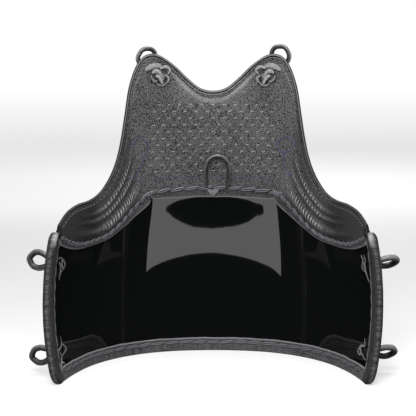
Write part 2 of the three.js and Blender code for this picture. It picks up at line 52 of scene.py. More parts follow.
# Camera, floor and light

view = {
    "place": (-0.0003, -1.6516, 0.4646),
    "pitchDown": 8.376,  # degrees
    "lens": 106.2,
    "sensor": 36,
    "shift": -0.012,  # the breastplate stands a little right of the middle of the frame
}
cameraData = bpy.data.cameras.new("camera")
cameraData.lens = view["lens"]
cameraData.sensor_width = view["sensor"]
cameraData.shift_x = view["shift"]
cameraObject = bpy.data.objects.new("camera", cameraData)
cameraObject.location = view["place"]
cameraObject.rotation_euler = (math.radians(90 - view["pitchDown"]), 0, 0)
scene.collection.objects.link(cameraObject)
scene.camera = cameraObject
scene.view_settings.view_transform = "Standard"


def linearColour(hexText):
    channels = [int(hexText[k:k + 2], 16) / 255 for k in (1, 3, 5)]
    return [c / 12.92 if c <= 0.04045 else ((c + 0.055) / 1.055) ** 2.4 for c in channels] + [1]


# An input takes a constant, a socket, or a node, which stands for its first output in use
def setInputs(tree, node, inputs):
    for key, value in inputs.items():
        if isinstance(value, bpy.types.Node):
            value = next(socket for socket in value.outputs if socket.enabled)
        if isinstance(value, bpy.types.NodeSocket):
            tree.links.new(value, node.inputs[key])
        else:
            node.inputs[key].default_value = value


def addNode(tree, kind, inputs=None, **settings):
    node = tree.nodes.new(kind)
    for name, value in settings.items():
        setattr(node, name, value)
    setInputs(tree, node, inputs or {})
    return node


def newMaterial(name, kind="ShaderNodeBsdfPrincipled"):
    material = bpy.data.materials.new(name)
    material.use_nodes = True
    tree = material.node_tree
    tree.nodes.clear()
    shader = addNode(tree, kind)
    addNode(tree, "ShaderNodeOutputMaterial", {"Surface": shader})
    return material, tree, shader


studio = {
    "floorSize": 60,
    "skyStrength": 1.0,
    # distance from front to back in metres, painted glow of the paper there
    "paperGlow": [(-0.35, 0.6), (-0.1, 0.45), (0.1, 0.38), (0.45, 0.24), (1.65, 0.52), (6.0, 0.95),
                  (14.0, 1.0)],
    "paperTint": "#b4b4b4",
    # name, place, aims at, width, depth, watts
    "lamps": [
        ("keyLamp", (-0.25, -1.9, 1.75), (0, 0, 0.25), 1.1, 0.8, 62),
        ("topLamp", (0, -0.35, 2.1), (0, 0, 0.2), 1.6, 1.0, 38),
        ("backLamp", (0.5, 2.2, 1.6), (0, 0, 0.2), 1.6, 1.2, 26),
        ("leftLamp", (-2.2, -0.5, 0.8), (0, 0, 0.2), 0.9, 1.2, 11),
        ("rightLamp", (2.2, -0.5, 0.8), (0, 0, 0.2), 0.9, 1.2, 11),
    ],
    "cardGlow": 2.2,
    "cardHeight": 1.5,
    # plan in millimetres of the glowing card low in front of the breastplate, side by side: hidden from the
    # camera, it paints the bright reflection inside the shell
    "cardFar": [(139, -155), (140, -168), (151, -178), (169, -197), (199, -229)],
    "cardNear": [(199, -229), (175, -239), (148, -252), (110, -267), (80, -275), (58, -279), (42, -280),
                 (20, -282), (-2, -282), (-26, -283), (-51, -282), (-74, -280), (-108, -272), (-140, -261),
                 (-170, -248), (-213, -234)],
    "cardBack": [(-213, -234), (-173, -185), (-160, -170), (-153, -160), (-150, -150)],
    "cardInner": [(-150, -150), (-104, -180), (-101, -197), (-88, -206), (-78, -211), (-55, -227),
                  (-43, -234), (-32, -239), (-16, -243), (0, -245), (17, -243), (30, -240), (41, -234),
                  (52, -227), (64, -219), (77, -209), (88, -202), (92, -185), (139, -155)],
}


def emitMaterial(name, strength):
    material, tree, glow = newMaterial(name, "ShaderNodeEmission")
    setInputs(tree, glow, {"Color": linearColour("#ffffff"), "Strength": strength})
    return material


def paperMaterial():
    # Seamless white paper with painted light: it glows, brightest in front and far behind, and only its
    # dimmer parts take light and shadow as matt paper
    material, tree, shader = newMaterial("paperWithPaintedGlow")
    place = addNode(tree, "ShaderNodeTexCoord").outputs["Object"]
    parts = addNode(tree, "ShaderNodeSeparateXYZ", {"Vector": place})
    start, end = studio["paperGlow"][0][0], studio["paperGlow"][-1][0]
    share = addNode(tree, "ShaderNodeMapRange", {
        "Value": parts.outputs["Y"], "From Min": start, "From Max": end})
    curve = addNode(tree, "ShaderNodeFloatCurve", {"Value": share})
    line = curve.mapping.curves[0]
    spots = [((y - start) / (end - start), glow) for y, glow in studio["paperGlow"]]
    line.points[0].location, line.points[1].location = spots[0], spots[-1]
    for spot in spots[1:-1]:
        line.points.new(*spot)
    curve.mapping.update()
    fade = addNode(tree, "ShaderNodeMapRange", {
        "Value": curve, "From Min": 0.6, "From Max": 1.0, "To Min": 1.0, "To Max": 0.0})
    tint = addNode(tree, "ShaderNodeMix", {
        "Factor": fade, "A": linearColour("#000000"), "B": linearColour(studio["paperTint"])},
        data_type="RGBA")
    setInputs(tree, shader, {
        # Painted light: the paper's emission follows the glow curve
        "Base Color": tint, "Emission Color": linearColour("#ffffff"), "Emission Strength": curve,
        "Roughness": 0.95, "Specular IOR Level": 0.0})
    return material


def flatPiece(name, corners, material):
    mesh = bpy.data.meshes.new(name)
    mesh.from_pydata(corners, [], [tuple(range(len(corners)))])
    mesh.materials.append(material)
    piece = bpy.data.objects.new(name, mesh)
    scene.collection.objects.link(piece)
    return piece


def buildStudio():
    half = studio["floorSize"] / 2
    floor = flatPiece("floor", [(-half, -half, 0), (half, -half, 0), (half, half, 0), (-half, half, 0)],
                      paperMaterial())
    floor.visible_glossy = False

    # Painted reflection: a glowing card that only the shell's reflections see
    plan = [spot for side in ("cardFar", "cardNear", "cardBack", "cardInner") for spot in studio[side][:-1]]
    card = flatPiece("glossyCard", [(x * mm, y * mm, studio["cardHeight"] * mm) for x, y in plan],
                     emitMaterial("paintedReflectionGlow", studio["cardGlow"]))
    card.visible_camera = card.visible_diffuse = card.visible_shadow = card.visible_transmission = False

    world = bpy.data.worlds.new("whiteRoom")
    world.use_nodes = True
    sky = world.node_tree.nodes["Background"]
    sky.inputs["Color"].default_value = linearColour("#ffffff")
    sky.inputs["Strength"].default_value = studio["skyStrength"]
    world.cycles_visibility.glossy = False
    world.cycles_visibility.diffuse = False
    scene.world = world

    for name, place, target, width, depth, watts in studio["lamps"]:
        lampData = bpy.data.lights.new(name, "AREA")
        lampData.shape = "RECTANGLE"
        lampData.size = width
        lampData.size_y = depth
        lampData.energy = watts
        lamp = bpy.data.objects.new(name, lampData)
        lamp.location = place
        lamp.rotation_euler = (Vector(target) - Vector(place)).to_track_quat("-Z", "Y").to_euler()
        scene.collection.objects.link(lamp)


buildStudio()
print("studio built")


# The breastplate's form: every piece lies along its girth, at a height and an offset out from the shell's
# inner face

form = {
    "frontRadius": 300,
    "frontArcEnd": 11,  # degrees
    "flankRadius": 168,
    "flankArcEnd": 64,  # degrees
    "sideRadius": 300,
    "halfArc": 297,
    "tipHeight": 429,
    "widestHeight": 100,
    "barrelRadius": 480,
    "leanStart": 220,
    "leanEnd": 420,
    "leanEndSlope": 0.08,
    "wall": 4,
    "corner": 9,
    "sideTop": 201,
    "bottomThickness": 3.5,
    "leather": 2,
    "clearance": 0.3,
    "seamGap": 0.4,
    "easing": 30,  # length over which one curvature turns into the next
    "step": 0.5,
}
cornerStart = form["halfArc"] - form["corner"]
sides = (("Left", -1), ("Right", 1))


def eased(values):
    count = int(form["easing"] / form["step"]) | 1
    padded = np.pad(values, count // 2, mode="edge")
    return np.convolve(padded, np.ones(count) / count, mode="valid")


def runningSum(values, start=0.0):
    steps = (values[1:] + values[:-1]) / 2 * form["step"]
    return start + np.concatenate([[0], np.cumsum(steps)])


def planTables():
    along = np.arange(0, form["halfArc"] + 40, form["step"])
    frontLength = form["frontRadius"] * math.radians(form["frontArcEnd"])
    flankLength = form["flankRadius"] * math.radians(form["flankArcEnd"] - form["frontArcEnd"])
    radius = np.where(along < frontLength, form["frontRadius"], form["flankRadius"])
    radius = np.where(along > frontLength + flankLength, form["sideRadius"], radius)
    turn = runningSum(eased(1 / radius))
    return {"along": along, "turn": turn, "x": runningSum(np.cos(turn)), "y": -runningSum(np.sin(turn))}


def leanTables():
    height = np.arange(0, form["tipHeight"] + 40, form["step"])
    startSlope = (form["leanStart"] - form["widestHeight"]) / form["barrelRadius"]
    upperBend = (startSlope - form["leanEndSlope"]) / (form["leanEnd"] - form["leanStart"])
    bend = np.where(height < form["leanStart"], -1 / form["barrelRadius"], upperBend)
    slope = runningSum(eased(bend), form["widestHeight"] / form["barrelRadius"])
    return {"height": height, "out": runningSum(slope)}


plan = planTables()
lean = leanTables()
shellLow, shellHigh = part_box("shell")
panelLow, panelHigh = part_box("chest_panel")
widestOut = np.interp(form["widestHeight"], lean["height"], lean["out"]) + form["wall"]
middle = ((panelLow.x + panelHigh.x) / 2 / mm, shellHigh.y / mm - widestOut)


def surface(along, height, offset):
    along, height, offset = np.broadcast_arrays(*(np.asarray(v, float) for v in (along, height, offset)))
    distance = np.abs(along)
    side = np.where(along < 0, -1, 1)
    turn = np.interp(distance, plan["along"], plan["turn"]) * side
    out = np.interp(height, lean["height"], lean["out"]) + offset
    x = np.interp(distance, plan["along"], plan["x"]) * side + np.sin(turn) * out + middle[0]
    y = np.interp(distance, plan["along"], plan["y"]) + np.cos(turn) * out + middle[1]
    return np.stack([x, y, height], -1) * mm


def outwardAt(along, height):
    step = 0.5
    right = surface(along + step, height, 0) - surface(along - step, height, 0)
    up = surface(along, height + step, 0) - surface(along, height - step, 0)
    normal = np.cross(up, right)
    return normal / np.linalg.norm(normal, axis=-1, keepdims=True)


# Sections of the chest panel from the middle of the neckline to the wing's end, as shares of halfArc and
# tipHeight: along and height of the laced joint, along and height of the panel's outline
panelSections = np.array([
    (0, 0.56, 0, 0.881),
    (0.084, 0.559, 0.067, 0.89),
    (0.162, 0.556, 0.131, 0.921),
    (0.236, 0.553, 0.195, 0.958),
    (0.279, 0.551, 0.26, 0.985),
    (0.303, 0.549, 0.309, 0.998),
    (0.318, 0.546, 0.354, 1),
    (0.33, 0.543, 0.399, 0.991),
    (0.34, 0.538, 0.439, 0.967),
    (0.351, 0.532, 0.471, 0.928),
    (0.362, 0.525, 0.492, 0.881),
    (0.377, 0.514, 0.504, 0.811),
    (0.398, 0.499, 0.514, 0.739),
    (0.421, 0.482, 0.525, 0.685),
    (0.451, 0.46, 0.542, 0.641),
    (0.492, 0.436, 0.572, 0.599),
    (0.539, 0.418, 0.62, 0.562),
    (0.606, 0.408, 0.687, 0.5445),
    (0.698, 0.4045, 0.792, 0.5395),
    (0.795, 0.4155, 0.887, 0.5255),
    (0.929, 0.4475, 0.963, 0.494),
])


def mirroredPoints(columns):
    half = panelSections[:, columns] * (form["halfArc"], form["tipHeight"])
    return np.concatenate([half[:0:-1] * (-1, 1), half])


jointPoints = mirroredPoints([0, 1])
outlinePoints = mirroredPoints([2, 3])


# Section runs from -1 at the left wing's end to 1 at the right one's
def curveAt(points, section):
    place = (np.asarray(section, float) + 1) / 2 * (len(points) - 1)
    index = np.clip(place.astype(int), 0, len(points) - 2)
    share = (place - index)[..., None]
    before, start, end, after = (points[np.clip(index + k, 0, len(points) - 1)] for k in (-1, 0, 1, 2))
    leave = (end - before) / 2
    arrive = (after - start) / 2
    bend = 3 * (end - start) - 2 * leave - arrive
    return (2 * (start - end) + leave + arrive) * share ** 3 + bend * share ** 2 + leave * share + start


def inwardAt(points, section):
    step = 0.002
    section = np.asarray(section, float)
    run = curveAt(points, np.minimum(1, section + step)) - curveAt(points, np.maximum(-1, section - step))
    run = run / np.linalg.norm(run, axis=-1, keepdims=True)
    return np.stack([run[..., 1], -run[..., 0]], -1)


def insetAt(points, section, distance):
    return curveAt(points, section) + inwardAt(points, section) * np.asarray(distance, float)[..., None]


def evenSections(points, count, start=-1.0, end=1.0):
    dense = np.linspace(start, end, 2000)
    places = curveAt(points, dense)
    lengths = np.concatenate([[0], np.cumsum(np.linalg.norm(np.diff(places, axis=0), axis=1))])
    return np.interp(np.linspace(0, lengths[-1], count), lengths, dense)


# Unevenness between -1 and 1, in waves of a few centimetres
def ripple(along, height, seed):
    waves = np.sin(along / 9.1 + seed) + np.sin(height / 6.3 + 2.1 * seed + along / 23)
    return (waves + np.sin((along + height) / 4.7 + 3.3 * seed) + np.sin((along - height) / 3.1 + seed)) / 4


def easeStep(value, low, high):
    share = np.clip((value - low) / (high - low), 0, 1)
    return share * share * (3 - 2 * share)


# Meshes

def makePiece(name, points, faces, material, replaced=(), surfacePlaces=None, sharp=40, tone=None):
    corners = np.asarray(points, float).reshape(-1, 3)
    volume = 0.0
    for face in faces:
        first = corners[face[0]]
        for b, c in zip(face[1:-1], face[2:]):
            volume += np.dot(first, np.cross(corners[b], corners[c]))
    if volume < 0:
        faces = [face[::-1] for face in faces]
    mesh = bpy.data.meshes.new(name)
    mesh.from_pydata(corners.tolist(), [], faces)
    mesh.materials.append(material)
    mesh.shade_smooth()
    mesh.set_sharp_from_angle(angle=math.radians(sharp))
    if surfacePlaces is not None:
        layer = mesh.uv_layers.new(name="surface")
        corner = np.zeros(len(mesh.loops), int)
        mesh.loops.foreach_get("vertex_index", corner)
        layer.data.foreach_set("uv", np.asarray(surfacePlaces, float).reshape(-1, 2)[corner].ravel())
    if tone is not None:
        keepNumbers(mesh, "tone", tone)
    return finishPiece(bpy.data.objects.new(name, mesh), replaced)


def keepNumbers(mesh, name, values):
    attribute = mesh.attributes.new(name, "FLOAT", "POINT")
    attribute.data.foreach_set("value", np.ascontiguousarray(values, dtype=float).ravel())


def finishPiece(piece, replaced=()):
    if piece.name not in scene.collection.objects:
        scene.collection.objects.link(piece)
    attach(piece, "root")
    if replaced:
        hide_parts(*replaced)
    return piece


# A closed wall between an inner and an outer grid of points
def wallFaces(columns, rows):
    size = columns * rows
    at = lambda i, j, face: face * size + i * rows + j
    faces = []
    for i in range(columns - 1):
        for j in range(rows - 1):
            faces.append((at(i, j, 0), at(i + 1, j, 0), at(i + 1, j + 1, 0), at(i, j + 1, 0)))
            faces.append((at(i, j, 1), at(i, j + 1, 1), at(i + 1, j + 1, 1), at(i + 1, j, 1)))
        faces.append((at(i, 0, 0), at(i, 0, 1), at(i + 1, 0, 1), at(i + 1, 0, 0)))
        last = rows - 1
        faces.append((at(i, last, 0), at(i + 1, last, 0), at(i + 1, last, 1), at(i, last, 1)))
    for j in range(rows - 1):
        faces.append((at(0, j, 0), at(0, j + 1, 0), at(0, j + 1, 1), at(0, j, 1)))
        last = columns - 1
        faces.append((at(last, j, 0), at(last, j, 1), at(last, j + 1, 1), at(last, j + 1, 0)))
    return faces


# Faces of a bar through rings that all have the same number of corners
def barFaces(rings, corners, closed=False):
    faces = []
    for k in range(rings if closed else rings - 1):
        for c in range(corners):
            a, b = k * corners + c, k * corners + (c + 1) % corners
            far = ((k + 1) % rings - k) * corners
            faces.append((a, b, b + far, a + far))
    if not closed:
        faces.append(tuple(range(corners))[::-1])
        faces.append(tuple((rings - 1) * corners + c for c in range(corners)))
    return faces


# Materials

# A leather is pebbled, with lighter crowns. Its tone attribute paints it lighter above 0 and darker below:
# mostly painted highlights and painted shade, and paler folded edges.
def leatherMaterial(name, dark, light, grain, depth, roughness, paleAndHighlight="#9b9b9d", sheen=0.0, creases=None):
    material, tree, shader = newMaterial(name)
    place = addNode(tree, "ShaderNodeTexCoord").outputs["Object"]
    warp = addNode(tree, "ShaderNodeTexNoise", {"Vector": place, "Scale": 0.35 / (grain * mm), "Detail": 2.0})
    cloud = addNode(tree, "ShaderNodeTexNoise", {"Vector": place, "Scale": 22.0, "Detail": 4.0})
    bent = addNode(tree, "ShaderNodeVectorMath", {
        0: warp.outputs["Color"], "Scale": 1.6 * grain * mm}, operation="SCALE")
    moved = addNode(tree, "ShaderNodeVectorMath", {0: place, 1: bent}, operation="ADD")
    pebbles = addNode(tree, "ShaderNodeTexVoronoi", {
        "Vector": moved, "Scale": 1 / (grain * mm), "Randomness": 0.9}, feature="SMOOTH_F1")
    fine = addNode(tree, "ShaderNodeTexNoise", {"Vector": place, "Scale": 2.6 / (grain * mm), "Detail": 3.0})
    crown = addNode(tree, "ShaderNodeMapRange", {
        "Value": pebbles, "From Min": 0.1, "From Max": 0.75, "To Min": 1.0, "To Max": 0.0})
    height = addNode(tree, "ShaderNodeMath", {0: fine, 1: 0.5, 2: crown}, operation="MULTIPLY_ADD")
    tone = addNode(tree, "ShaderNodeAttribute", attribute_name="tone").outputs["Fac"]
    bumpInputs = {"Height": height, "Strength": 1.0, "Distance": depth * mm}
    if creases:
        streak, bumpInputs["Normal"] = creaseStreaks(tree, creases)
        tone = addNode(tree, "ShaderNodeMath", {0: tone, 1: streak}, operation="ADD")
    bump = addNode(tree, "ShaderNodeBump", bumpInputs)
    mixed = addNode(tree, "ShaderNodeMath", {0: cloud, 1: 0.35, 2: crown}, operation="MULTIPLY_ADD")
    spread = addNode(tree, "ShaderNodeMapRange", {"Value": mixed, "From Min": 0.35, "From Max": 1.05})
    colour = addNode(tree, "ShaderNodeMix", {
        "Factor": spread, "A": linearColour(dark), "B": linearColour(light)}, data_type="RGBA")
    # Painted light: the tone mixes in the pale colour for highlights and pale edges, and near black for
    # painted shade
    lighter = addNode(tree, "ShaderNodeMix", {
        "Factor": tone, "A": colour, "B": linearColour(paleAndHighlight)}, data_type="RGBA")
    below = addNode(tree, "ShaderNodeMath", {0: tone, 1: -1.0}, operation="MULTIPLY")
    darker = addNode(tree, "ShaderNodeMix", {
        "Factor": below, "A": lighter, "B": linearColour("#060606")}, data_type="RGBA")
    polish = addNode(tree, "ShaderNodeMapRange", {
        "Value": crown, "To Min": min(1.0, roughness + 0.14), "To Max": roughness})
    setInputs(tree, shader, {
        "Base Color": darker, "Roughness": polish, "Normal": bump, "IOR": 1.45, "Sheen Weight": sheen,
        "Sheen Roughness": 0.5})
    return material


# Creases across the raised ribs, bumped, with painted shade in their hollows and a painted highlight on their
# crests: the piece's "surface" map holds the run along the panel
def creaseStreaks(tree, creases):
    run = addNode(tree, "ShaderNodeUVMap", uv_map="surface")
    mask = addNode(tree, "ShaderNodeAttribute", attribute_name="creases").outputs["Fac"]
    waves = addNode(tree, "ShaderNodeTexWave", {
        "Vector": run, "Scale": math.pi / 10 / (creases["pitch"] * mm), "Distortion": 3.0, "Detail": 2.0,
        "Detail Scale": 1.2}, bands_direction="X").outputs["Fac"]
    height = addNode(tree, "ShaderNodeMath", {0: waves, 1: mask}, operation="MULTIPLY")
    bump = addNode(tree, "ShaderNodeBump", {
        "Height": height, "Strength": 1.0, "Distance": creases["depth"] * mm})
    level = addNode(tree, "ShaderNodeMapRange", {
        "Value": waves, "To Min": -creases["contrast"], "To Max": creases["contrast"]})
    streak = addNode(tree, "ShaderNodeMath", {0: level, 1: mask}, operation="MULTIPLY")
    return streak, bump


def lacquerMaterial():
    # Black urethane lacquer, sprayed and buffed: deep, almost mirror-like, faint orange peel
    material, tree, shader = newMaterial("buffedBlackLacquer")
    place = addNode(tree, "ShaderNodeTexCoord").outputs["Object"]
    haze = addNode(tree, "ShaderNodeTexNoise", {"Vector": place, "Scale": 9.0, "Detail": 5.0})
    polish = addNode(tree, "ShaderNodeMapRange", {"Value": haze, "To Min": 0.01, "To Max": 0.03})
    peel = addNode(tree, "ShaderNodeTexNoise", {"Vector": place, "Scale": 120.0, "Detail": 1.0})
    bump = addNode(tree, "ShaderNodeBump", {"Height": peel, "Strength": 0.02, "Distance": 0.1 * mm})
    setInputs(tree, shader, {
        "Base Color": linearColour("#0b0c0c"), "Roughness": polish, "Normal": bump, "IOR": 1.52})
    return material


def threadMaterial(name, dark, light):
    # Twisted nylon thread: light and dark by turns, as its plies run round it, with a soft sheen
    material, tree, shader = newMaterial(name)
    place = addNode(tree, "ShaderNodeTexCoord").outputs["Object"]
    plies = addNode(tree, "ShaderNodeTexNoise", {"Vector": place, "Scale": 900.0, "Detail": 1.0})
    colour = addNode(tree, "ShaderNodeMix", {
        "Factor": plies, "A": linearColour(dark), "B": linearColour(light)}, data_type="RGBA")
    setInputs(tree, shader, {"Base Color": colour, "Roughness": 0.45, "Sheen Weight": 0.3})
    return material


lacquer = lacquerMaterial()
# The real grain of these hides is 0.5 to 1.2 mm. It is drawn at 1.2 to 1.8 mm, so that it shows.
# Thick cowhide, drum-milled and dyed charcoal: soft pebbled grain, creased across the ribs, the creases with
# painted shade and highlight
chestLeather = leatherMaterial("milledCharcoalCowhide", "#050505", "#6b6b6c", 1.5, 0.7, 0.48, "#bcbcbe", 0.1,
                               {"pitch": 6.0, "depth": 1.6, "contrast": 0.7})
# The same hide shaved thin and rolled over the edges: flatter grain, darker, a low sheen
rimLeather = leatherMaterial("rolledEdgeCowhide", "#0b0c0d", "#353637", 1.8, 0.4, 0.34, "#9a9a9c", 0.03)
# The folded strips along the joint and the bottom: flat grain and a dull surface
stripLeather = leatherMaterial("foldedStripCowhide", "#0e0e0f", "#525254", 1.6, 0.45, 0.46, "#98989a", 0.08)
# Waxed leather thong, cut from thinner hide: nearly smooth, bluish grey in the painted highlights on its
# strands
laceLeather = leatherMaterial("waxedLaceHide", "#18181b", "#37383c", 1.2, 0.15, 0.4, "#7c7d84", 0.05)
# The same thong knotted, drawn a lighter grey, with painted highlights and shade from its tone
knotLeather = leatherMaterial("knottedThongHide", "#333334", "#777779", 1.6, 0.3, 0.45, "#b8b8ba", 0.08)
# Hard rolled leather for the loops: blackened, with a painted highlight on the outside of the bends and
# painted shade inside them
loopLeather = leatherMaterial("blackenedRolledHide", "#161617", "#454547", 1.6, 0.25, 0.3)
greyThread = threadMaterial("greyNylonThread", "#262628", "#58585a")
paleThread = threadMaterial("paleNylonThread", "#606062", "#a0a0a2")
purpleThread = threadMaterial("violetNylonThread", "#15122e", "#4c4878")
print("materials made")


# Shell

shellSizes = {"columns": 220, "rows": 60, "cornerColumns": 10}


def cornerDraw(along):
    past = np.clip(np.abs(along) - cornerStart, 0, form["corner"])
    return form["corner"] - np.sqrt(form["corner"] ** 2 - past ** 2)


def shellTop(along):
    dense = curveAt(jointPoints, np.linspace(0, 1, 800))
    spots = np.append(dense[:, 0], cornerStart)
    heights = np.append(dense[:, 1], form["sideTop"])
    return np.interp(np.abs(along), spots, heights) - form["seamGap"] - cornerDraw(along)


def buildShell():
    turn = np.linspace(0, math.pi / 2, shellSizes["cornerColumns"])
    cornerAlong = cornerStart + form["corner"] * np.sin(turn)
    flat = np.linspace(-cornerStart, cornerStart, shellSizes["columns"])
    along = np.concatenate([-cornerAlong[:0:-1], flat, cornerAlong[1:]])
    share = np.linspace(0, 1, shellSizes["rows"])
    bottom = form["bottomThickness"] + cornerDraw(along)
    height = bottom[:, None] * (1 - share) + shellTop(along)[:, None] * share
    grid = np.repeat(along[:, None], len(share), 1)
    points = [surface(grid, height, offset) for offset in (0, form["wall"])]
    makePiece("shellLacquered", points, wallFaces(len(along), len(share)), lacquer, ["shell"])


buildShell()
print("shell built")


# Chest panel

panel = {
    "columns": 400,
    "rowsInside": 46,
    "edgeRows": [0, 0.25, 0.8, 1.6, 2.3, 2.9, 3.4, 3.8, 4.3, 4.9, 5.6, 6.6, 8, 10, 13],
    "proud": 2.3,
    "edgeHalf": 2.2,
    "edgeTaper": 11,
    "pipingRadius": 2.2,
    "grooveInset": 3.6,
    "grooveWidth": 1.5,
    "grooveDepth": 0.9,
    "ripple": 0.22,
    "quiltAlong": 17.5,
    "quiltUp": 18.8,
    "quiltFoot": 264.7,
    "quiltTop": 361,
    "quiltHalf": 104,
    "quiltPuff": 0.8,
    "ribFade": 0.1,
    "ribFull": 3.2,
    "creaseStart": (0.5, 0.58),  # section
    "creaseStop": (0.74, 0.86),
    "fill": 0.7,
}
# Painted light and shade on the panel's leather: lighter on the rib crests, at the neckline and along the
# border, darker in the rib valleys, at the wing ends, lower down the chest, high on its sides, on the quilt's
# puffs and in the groove. A pair of numbers is where a tone starts to change and where it has changed.
panelTones = {
    "rib": 0.55,
    "ribValley": -0.6,
    "wingStart": (0.5, 0.6),  # section
    "wingStop": (0.84, 0.93),
    "wingEnd": -0.88,
    "wingEndSection": (0.8, 0.9),
    "neckline": 0.14,
    "necklineHeight": 392,
    "necklineSpread": (75, 26),  # along and in height
    "border": 0.22,
    "borderInset": 9,
    "borderSpread": 3,
    "borderSection": (0.55, 0.8),
    "belly": -0.1,
    "bellyHeight": (318, 385),
    "shoulder": -0.16,
    "shoulderAlong": (45, 80),
    "shoulderHeight": (330, 380),
    "quilt": 0.3,
    "groove": -0.5,
}
# Raised ribs of the wings: across at the start and end, half width, height, section at the start and end
wingRibs = [
    (0.6, 0.7, 0.09, 3.2, 0.52, 0.9),
    (0.37, 0.53, 0.09, 3.2, 0.5, 0.93),
    (0.14, 0.22, 0.14, 4.2, 0.42, 0.95),
]


def ribsAt(section, across):
    distance = np.abs(section)
    total = np.zeros(np.broadcast(section, across).shape)
    for acrossStart, acrossEnd, halfWidth, height, start, end in wingRibs:
        progress = np.clip((distance - start) / (end - start), 0, 1)
        near = np.abs(across - (acrossStart + (acrossEnd - acrossStart) * progress)) / halfWidth
        fade = easeStep(distance, start, start + panel["ribFade"])
        fade = fade * (1 - easeStep(distance, end - panel["ribFade"], end))
        total = total + height * fade * np.cos(np.clip(near, 0, 1) * math.pi / 2) ** 2
    return total


def quiltMask(along, height):
    inside = easeStep(panel["quiltHalf"] + 4 - np.abs(along), 0, 8)
    return inside * easeStep(height, panel["quiltFoot"] - 4, panel["quiltFoot"] + 3) * (
        1 - easeStep(height, panel["quiltTop"] - 3, panel["quiltTop"] + 4))


def quiltAt(along, height):
    a = along / panel["quiltAlong"] + (height - panel["quiltFoot"]) / panel["quiltUp"]
    b = along / panel["quiltAlong"] - (height - panel["quiltFoot"]) / panel["quiltUp"]
    return np.sqrt(np.abs(np.sin(math.pi * a) * np.sin(math.pi * b))) * quiltMask(along, height)


panelInset = 2 * panel["pipingRadius"] + form["clearance"]


def panelGrid():
    section = evenSections(outlinePoints * 0.5 + jointPoints * 0.5, panel["columns"])[:, None]
    low = curveAt(jointPoints, section[:, 0])
    top = insetAt(outlinePoints, section[:, 0], np.full(len(section), panelInset))
    width = np.linalg.norm(top - low, axis=1)[:, None]
    edge = np.array(panel["edgeRows"])[None, :] + 0 * width
    share = np.linspace(0, 1, panel["rowsInside"] + 1)[1:]
    inside = edge[:, -1:] + (width - edge[:, -1:]) * share
    fromEdge = np.concatenate([edge, inside], 1)
    across = 1 - fromEdge / width
    place = low[:, None, :] * (1 - across[..., None]) + top[:, None, :] * across[..., None]
    return section + 0 * across, across, fromEdge, place


def panelHalf(fromEdge):
    taper = np.sqrt(1 - (1 - np.clip(fromEdge / panel["edgeTaper"], 0, 1)) ** 2)
    return panel["edgeHalf"] + (form["wall"] / 2 + panel["proud"] - panel["edgeHalf"]) * taper


# Painted highlights and painted shade over the panel, kept in its tone attribute
def panelTone(distance, along, height, fromEdge, ribs, groove):
    tones = panelTones
    wing = easeStep(distance, *tones["wingStart"]) * (1 - easeStep(distance, *tones["wingStop"]))
    spreadAlong, spreadUp = tones["necklineSpread"]
    neckline = np.exp(-(along / spreadAlong) ** 2 - ((height - tones["necklineHeight"]) / spreadUp) ** 2)
    border = np.exp(-((fromEdge - tones["borderInset"]) / tones["borderSpread"]) ** 2)
    shoulder = easeStep(np.abs(along), *tones["shoulderAlong"]) * easeStep(height, *tones["shoulderHeight"])
    tone = wing * (tones["rib"] * ribs + tones["ribValley"])
    tone = tone + tones["wingEnd"] * easeStep(distance, *tones["wingEndSection"])
    tone = tone + tones["neckline"] * neckline
    tone = tone + tones["border"] * border * (1 - easeStep(distance, *tones["borderSection"]))
    tone = tone + tones["belly"] * (1 - easeStep(height, *tones["bellyHeight"])) * (1 - wing)
    tone = tone + tones["shoulder"] * shoulder
    tone = tone + tones["quilt"] * (0.6 - quiltAt(along, height)) * quiltMask(along, height)
    return tone + tones["groove"] * groove


def buildPanel():
    section, across, fromEdge, place = panelGrid()
    along, height = place[..., 0], place[..., 1]
    half = panelHalf(fromEdge)
    ribs = ribsAt(section, across)
    groove = np.exp(-((fromEdge - panel["grooveInset"]) / panel["grooveWidth"]) ** 2)
    inner = form["wall"] / 2 - half - ribs + panel["grooveDepth"] * groove
    inner = inner - panel["quiltPuff"] * (quiltAt(along, height) - 0.5 * quiltMask(along, height))
    loose = easeStep(fromEdge, 2, 9) * easeStep(across * 60, 1, 6)
    inner = inner + panel["ripple"] * ripple(along, height, 1.7) * loose
    outer = form["wall"] / 2 + half - panel["grooveDepth"] * groove
    points = [surface(along, height, inner), surface(along, height, outer)]
    run = np.cumsum(np.concatenate([[0], np.linalg.norm(np.diff(place[:, 30], axis=0), axis=1)]))
    mapPlaces = np.stack([run[:, None] * mm + 0 * across, across * 0.05], -1)
    distance = np.abs(section)
    raised = np.clip(ribs / panel["ribFull"], 0, 1)
    tone = panelTone(distance, along, height, fromEdge, raised, groove)
    piece = makePiece("chestPanelPadded", points, wallFaces(*across.shape), chestLeather,
                      ["chest_panel"], [mapPlaces, mapPlaces], 60, [tone, 0 * tone])
    creased = raised * easeStep(distance, *panel["creaseStart"])
    creased = creased * (1 - easeStep(distance, *panel["creaseStop"]))
    keepNumbers(piece.data, "creases", [creased, 0 * creased])


buildPanel()
print("chest panel built")


# Piping: a roll round the panel's outline with a smaller tuck beside it

piping = {
    "stations": 560,
    "rollRadius": 1.75,
    "rollTurns": (55, 305, 14),  # degrees at its start and end, corners
    "tuckRadius": 1.1,
    "tuckTurns": (-120, 120, 8),
    "tuckCentre": 3.5,
    # from the outline's end it turns down the wing's end to the joint
    "ends": [(285.5, 212.5), (287, 209.5), (286, 203), (283, 196)],
    "crestHighlight": 0.5,
    "flankShade": -0.6,
    "tuckShade": -0.85,
    "wingShade": -0.25,
    "wingSection": (0.45, 0.75),
}


